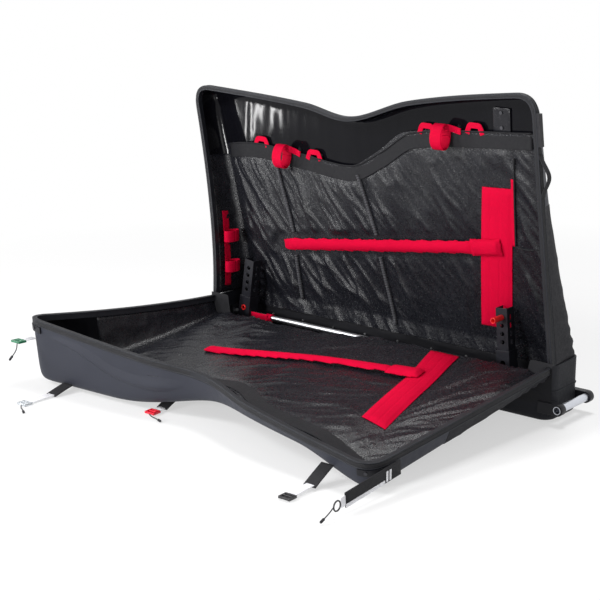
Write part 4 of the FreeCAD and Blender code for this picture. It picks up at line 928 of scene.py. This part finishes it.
PAD_FACE, BAR_LIFT = 5.1, 6.8
PANEL_THICK, BAR_THICK, CUFF_THICK = 6, 9.6, 14.4
BAR_WIDTH, CUFF_WIDTH, CUFF_LENGTH, CUFF_HOLE = 40, 51, 104, 90
PANEL_COLUMNS, PANEL_SEAMS = 41, (0.3, 0.62)
for half in (REAR, FRONT):
    start, end = BARS[half.name]
    length = math.dist(start, end)
    over = PAD_FACE + BAR_LIFT
    joint, bar_end = ([mix(a, b, 1 - back / length) for a, b in zip(start, end)]
                      for back in (CUFF_LENGTH, CUFF_HOLE))
    front, rear = pad_rows(half, PANELS[half.name], (PAD_FACE, PAD_FACE), PANEL_THICK, PANEL_COLUMNS, 90)
    panel = piece(f"{half.name}_panel", shell(pushed(front, channels(half)), rear), "red_pad", half.body,
                  (f"{half.name}_pad_panel",))
    rows = pad_rows(half, bar_corners(start, bar_end, BAR_WIDTH), (PAD_FACE, over), BAR_THICK, 17, 120)
    soft_pad("bar", half, rows, 0.004, "pad_bar")
    rows = pad_rows(half, bar_corners(joint, end, CUFF_WIDTH), (over, over), CUFF_THICK, 21, 28)
    soft_pad("cuff", half, rows, 0.0035, "bar_cuff")

# Piped channels across the rear lining: a puckered sleeve over a cord

sleeves = []
for ends in BATTENS:
    count = int(math.dist(*ends) / 1.5)
    line = on_lining(zip(*(spread(first, last, count) for first, last in zip(*ends))), 3.2)
    sizes = [0.0058 + 0.0007 * math.sin(index * 1.3) + 0.0006 * noise.noise(Vector((index * 0.31, 0, 3)))
             for index in range(count)]
    sleeves.append(tube(line, sizes, 12))
piece("channel_piping", joined(*sleeves), "piping", "rear_half", ("liner_battens",))

# Webbing loops along the hem and on the left wall

WHEEL_LOOPS, HANGERS = (-0.632, 0.382), (-0.823, -0.45, 0.268, 0.545)
ARCH_SIDE = ((-26, -1), (-22.5, 8), (-18, 18), (-14, 21.5), (-8, 22))
ARCH = ARCH_SIDE + tuple((-x, h) for x, h in ARCH_SIDE[::-1])
hem_strips = []
for share in WHEEL_LOOPS:
    x = HALF_LENGTH * share
    h = hem(REAR, x) - 14
    depth = lining_face(REAR, x, h) - 29.5
    ring = []
    for turn in spread(0, FULL_TURN, 49):
        squash = 1 + 0.05 * math.sin(2 * turn + 0.6)
        ring.append(spot(REAR, x, h, depth) + REAR.inward * (-0.0235 * squash * math.cos(turn))
                    + REAR.up * (0.0345 * math.sin(turn)))
    hem_strips.append(ribbon(ring, X_AXIS, 0.035, 0.0026))
    wing = []
    for run in spread(0, 44, 14):
        wx = x + 8 + run
        top = hem(REAR, wx)
        wing.append(spot(REAR, wx, top + 12 - 14 * smooth(run / 44),
                         lining_face(REAR, wx, top) - 2.5 - 20 * (1 - smooth(run / 34))))
    hem_strips.append(ribbon(wing, REAR.up, 0.017, 0.002))
webbing("wheel_loop_webbing", hem_strips, "red_web", "rear_half", ("wheel_loops",))

arches = []
for share in HANGERS:
    x = HALF_LENGTH * share
    h = hem(REAR, x) - 7
    depth = lining_face(REAR, x, h) - 0.4
    line = flow([spot(REAR, x + a, h + b, depth - 0.12 * b) for a, b in ARCH], 4)
    across = [REAR.inward.cross(ahead_at(line, index)).normalized() for index in range(len(line))]
    arches.append(ribbon(line, across, 0.0155, 0.0024))
webbing("hanger_webbing", arches, "red_web", "rear_half", ("hanger_loops",))


def wall_face(h, depth):
    """The x of the rear half's left wall on its inside."""
    flat = wall_profile(REAR, left_edge(h), h, 1)[0][2][1]
    return left_edge(h) + SHELL_WALL + DRAFT * (depth - RIM_BACK) / (flat - RIM_BACK) + 0.35


STRAP_DEPTH = 57
line = [spot(REAR, wall_face(h, STRAP_DEPTH) + 1.3, h, STRAP_DEPTH) for h in spread(21, 249, 30)]
wall_strips = [ribbon(line, REAR.inward, 0.026, 0.0024)]
for share in (0.68, 0.28):
    h = 20 + 230 * share
    middle = spot(REAR, wall_face(h - 18, STRAP_DEPTH) + 2.5 + 0.3 + 16, h, STRAP_DEPTH)
    ring = [middle + Vector((0.0146 * math.cos(turn), 0, 0)) + REAR.inward * (0.0285 * math.sin(turn))
            for turn in spread(0, FULL_TURN, 41)]
    wall_strips.append(ribbon(ring, REAR.up, 0.035, 0.0026))
webbing("wall_strap_webbing", wall_strips, "red_web", "rear_half", ("side_strap",))

# Straps from the stands round the rail

RAIL_Y, RAIL_Z = 0.005, 0.0937
SHOE_END, TAIL_START, RING_RUN, RING_RADIUS = 18 + 3.3, 3.4, 70, 0.0106
TAIL_Y = RAIL_Y - 0.0093 - 0.00125
STRAP_SIZE = 0.0235, 0.0023
for name, side, x in (("left", 1, -533), ("right", -1, 415)):
    start, ring_x = ((x + side * (SHOE_END + run)) * MM for run in (TAIL_START, RING_RUN))
    middle = Vector((ring_x, RAIL_Y, RAIL_Z))
    ring = [middle + Vector((0, math.cos(turn), math.sin(turn))) * RING_RADIUS
            for turn in spread(0, FULL_TURN, 37)]
    tail = [Vector((mix(start, ring_x, share), TAIL_Y - 0.0012 * math.sin(3.1 * share), RAIL_Z))
            for share in spread(0, 1, 18)]
    strips = [ribbon(ring, X_AXIS, *STRAP_SIZE), ribbon(tail, Z_AXIS, *STRAP_SIZE)]
    webbing(f"rail_webbing_{name}", strips, "red_web", f"stand_{name}", (f"rail_strap_{name}",))

# Carry handle on the right edge

HANDLE_START, HANDLE_LENGTH, HANDLE_RISE = 0.702, 110, 22
line = []
for share in spread(0, 1, 41):
    h = LEFT_HEIGHT * HANDLE_START + HANDLE_LENGTH * share
    rise = HANDLE_RISE * smooth(2 * min(share, 1 - share))
    line.append(spot(REAR, right_edge(h) + 0.3 + rise + 2, h, 9.5))
webbing("handle_webbing", [ribbon(line, REAR.inward, 0.016, 0.004)], "black_web", "rear_half",
        ("end_handle",))

# Closing straps: points in millimetres of the root, knee and tip

STRAPS = {
    "green": (None, (-711.7, -706, 137.6), (-711.7, -746, 139.2)),
    "clear": ((-590.6, -691, 20.6), (-590.6, -755, 4), (-590.6, -835, 4.8)),
    "red": ((-266.4, -605.5, 25), (-266.4, -645.5, 7.2), (-266.4, -665.5, 6.7)),
    "black": ((401.4, -763.5, 44), (401.4, -831.5, 8), (401.4, -895.5, 6.7)),
    "ring": ((554.7, -683.4, 50.4), (554.7, -891.4, 32), (554.7, -907.4, 29.6)),
}


def arched(start, end, lift):
    return [mix(start, end, share) + lift * math.sin(3.1 * share) for share in spread(0, 1, 16)]


sleeve_strips, web_strips = [], []
for name, (root, knee, tip) in STRAPS.items():
    across = Z_AXIS if name == "ring" else X_AXIS
    lift = Vector((0, 0, 0.0008 if name in ("clear", "red", "black") else 0))
    web = [Vector(knee) * MM, Vector(tip) * MM]
    if root:
        sleeve = [Vector(root) * MM, Vector(knee) * MM]
        sleeve_strips.append(ribbon(arched(*sleeve, lift), across, 0.038, 0.0036))
        web[0] = mix(web[0], sleeve[0], 0.1)
    web_strips.append(ribbon(arched(*web, lift), across, 0.025, 0.0018))
    if name == "ring":
        shift = Vector((0.0026, 0, -0.0135))
        line = [mix(*sleeve, share) + shift for share in spread(0.3, 1, 20)]
        web_strips.append(ribbon(line, across, 0.009, 0.0014))
        for share in (0.2, 0.26):
            middle = mix(*sleeve, share) + X_AXIS * 0.0027
            line = [middle + Vector((0, 0, 0.015)) * lean for lean in spread(-1, 0.7, 8)]
            web_strips.append(ribbon(line, Y_AXIS, 0.007, 0.0016))
webbing("strap_sleeve_webbing", sleeve_strips, "black_web", "front_half", ("strap_sleeves",))
webbing("strap_web_webbing", web_strips, "white_web", "front_half", ("strap_webs",))

# Buckles: ladder frames of rounded bars


BUCKLE_SIDE, BUCKLE_MIDDLE = 0.0145, 0.015
BUCKLE_BARS = ((0.003, 0.006, 0), (0.0145, 0.005, 0.0012), (0.0262, 0.0072, 0.0004))


def buckle(name, skin):
    knee, tip = STRAPS[name][1:]
    ahead = (Vector(tip) - Vector(knee)).normalized()
    up = ahead.cross(X_AXIS).normalized()
    if up.z < 0:
        up = -up
    low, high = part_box(f"buckle_{name}")
    start = (low + high) / 2 - ahead * BUCKLE_MIDDLE
    bars = []
    for side in (-BUCKLE_SIDE, BUCKLE_SIDE):
        rail = [start + ahead * run + X_AXIS * side for run in spread(0.0004, 0.0296, 14)]
        bars.append(ribbon(rail, X_AXIS, 0.0052, 0.0066)[:2])
    for run, width, lift in BUCKLE_BARS:
        bar = [start + ahead * run + up * lift + X_AXIS * side
               for side in spread(-BUCKLE_SIDE, BUCKLE_SIDE, 14)]
        bars.append(ribbon(bar, ahead, width, 0.0056)[:2])
    rounded(piece(f"fitting_{name}", joined(*bars), skin, "front_half", (f"buckle_{name}",)))


for name, skin in (("green", "green_plastic"), ("clear", "clear_plastic"), ("red", "red_buckle"),
                   ("black", "black_buckle")):
    buckle(name, skin)

# Lips and zip along both rims, and a dark strip of painted shade on each mating face


def rim_line(half, path, inset, depth):
    return [spot(half, x + nx * inset, h + nh * inset, depth) for x, h, nx, nh in path]


RIM_LIPS = ((0.2, 2.6, 0.0021), (0.2, 16.4, 0.0023), (10.6, 2.0, 0.0017))
# The last two place a dark strip of painted shade on the mating face, standing in for the shaded groove
# between the lips
ZIP_INSET, ZIP_DEPTH, GROOVE_SHADE_INSET, GROOVE_SHADE_DEPTH = -0.5, 9.5, 5.6, 0.45
for half, start in ((REAR, 2), (FRONT, 5)):
    path = rim_path(start)
    lips = [tube(rim_line(half, path, inset, depth), radius, 8) for inset, depth, radius in RIM_LIPS]
    piece(f"{half.name}_rim_lips", joined(*lips), "rim", half.body)
    line = rim_line(half, path, ZIP_INSET, ZIP_DEPTH)
    webbing(f"{half.name}_zip", [ribbon(line, half.inward, 0.0095, 0.0016)], "zip", half.body)
    # Dark strip on the mating face: painted shade in the zip's black, standing in for the groove between the
    # rim lips
    line, outer, inner = (rim_line(half, path, inset, GROOVE_SHADE_DEPTH) for inset in (GROOVE_SHADE_INSET, 0, 1))
    across = [second - first for first, second in zip(outer, inner)]
    webbing(f"{half.name}_gasket", [ribbon(line, across, 0.0046, 0.0004)], "zip", half.body)

# Fold and corner seams of the base at its right end


BASE_END, BASE_DEPTH, BASE_CORNER = 600, 80, 40
FOLD_START, FOLD_HEIGHT, SEAM_LIFT = 470, 86, 0.5


def base_fold():
    """Line round the base's right end."""
    corner_x, corner_y = BASE_END - BASE_CORNER, BASE_DEPTH - BASE_CORNER
    reach, side = BASE_CORNER + SEAM_LIFT, BASE_DEPTH + SEAM_LIFT
    run = spread(FOLD_START, corner_x, 8)[:-1]
    points = [(x, -side) for x in run]
    for y, start in ((-corner_y, -90), (corner_y, 0)):
        for turn in spread(start, start + 90, 12):
            angle = math.radians(turn)
            points.append((corner_x + reach * math.cos(angle), y + reach * math.sin(angle)))
    points += [(x, side) for x in run[::-1]]
    return [Vector((x, y, FOLD_HEIGHT)) * MM for x, y in points]


seams = [tube(base_fold(), 0.0019, 8)]
for y in (-68.4, 68.4):
    seams.append(tube([Vector((588.4, y, z)) * MM for z in spread(20, 154, 30)], 0.0015, 8))
piece("base_seams", joined(*seams), "base", "rear_half")

# Floor, light and background

mesh = bpy.data.meshes.new("floor")
mesh.from_pydata([(-30, -30, 0), (30, -30, 0), (30, 30, 0), (-30, 30, 0)], [], [(0, 1, 2, 3)])
mat = bpy.data.materials.new("floor")
mat.use_nodes = True
links = mat.node_tree.links
shader = mat.node_tree.nodes["Principled BSDF"]
shader.inputs["Roughness"].default_value = 0.9
coords = add(mat, "TexCoord").outputs["Object"]
tone = blended(mat, clouds(mat, coords, 0.4), (0.86, 0.86, 0.87, 1), (0.9, 0.9, 0.9, 1))
links.new(tone, shader.inputs["Base Color"])
reach = add(mat, "VectorMath", {0: coords}, operation="LENGTH").outputs["Value"]
away = ranged(mat, reach, 0.55, 1.0, 0.9, 2.4)
white = add(mat, "Emission", {"Color": (1, 1, 1, 1), "Strength": 1.0}).outputs[0]
shown = maths(mat, away, seen_rays(mat), "MULTIPLY")
mixed = add(mat, "MixShader", {0: shown, 1: shader.outputs[0], 2: white})
links.new(mixed.outputs[0], mat.node_tree.nodes["Material Output"].inputs["Surface"])
mesh.materials.append(mat)
floor = bpy.data.objects.new("floor", mesh)
SCENE.collection.objects.link(floor)


def lamp(name, place, target, size, power):
    light = bpy.data.lights.new(name, "AREA")
    light.shape = "RECTANGLE"
    light.size, light.size_y = size
    light.energy = power
    obj = bpy.data.objects.new(name, light)
    obj.location = place
    obj.rotation_euler = (Vector(target) - Vector(place)).to_track_quat("-Z", "Y").to_euler()
    SCENE.collection.objects.link(obj)


lamp("key", (-2.3, -3.2, 3.1), (0, -0.3, 0.4), (1.2, 1.2), 120)
lamp("front", (-0.6, -4.6, 1.1), (0, 0, 0.4), (0.7, 0.7), 110)
lamp("fill", (3.4, -2.8, 2.0), (0, -0.3, 0.3), (2.2, 1.8), 30)
lamp("top", (0.3, 0.4, 3.6), (0, -0.4, 0.2), (1.3, 1.0), 80)
lamp("strip_near", (-4.2, -2.6, 0.75), (-0.5, 0, 0.75), (0.1, 1.6), 36)
lamp("strip_far", (-3.5, -3.3, 0.75), (-0.3, 0, 0.75), (0.05, 1.6), 18)

world = bpy.data.worlds.new("world")
world.use_nodes = True
SCENE.world = world
sky = world.node_tree.nodes["Background"]
sky.inputs["Color"].default_value = (1, 1, 1, 1)
strength = ranged(world, seen_rays(world), 0.26, 1.0, 0, 1)
world.node_tree.links.new(strength, sky.inputs["Strength"])
SCENE.view_settings.view_transform = "Standard"
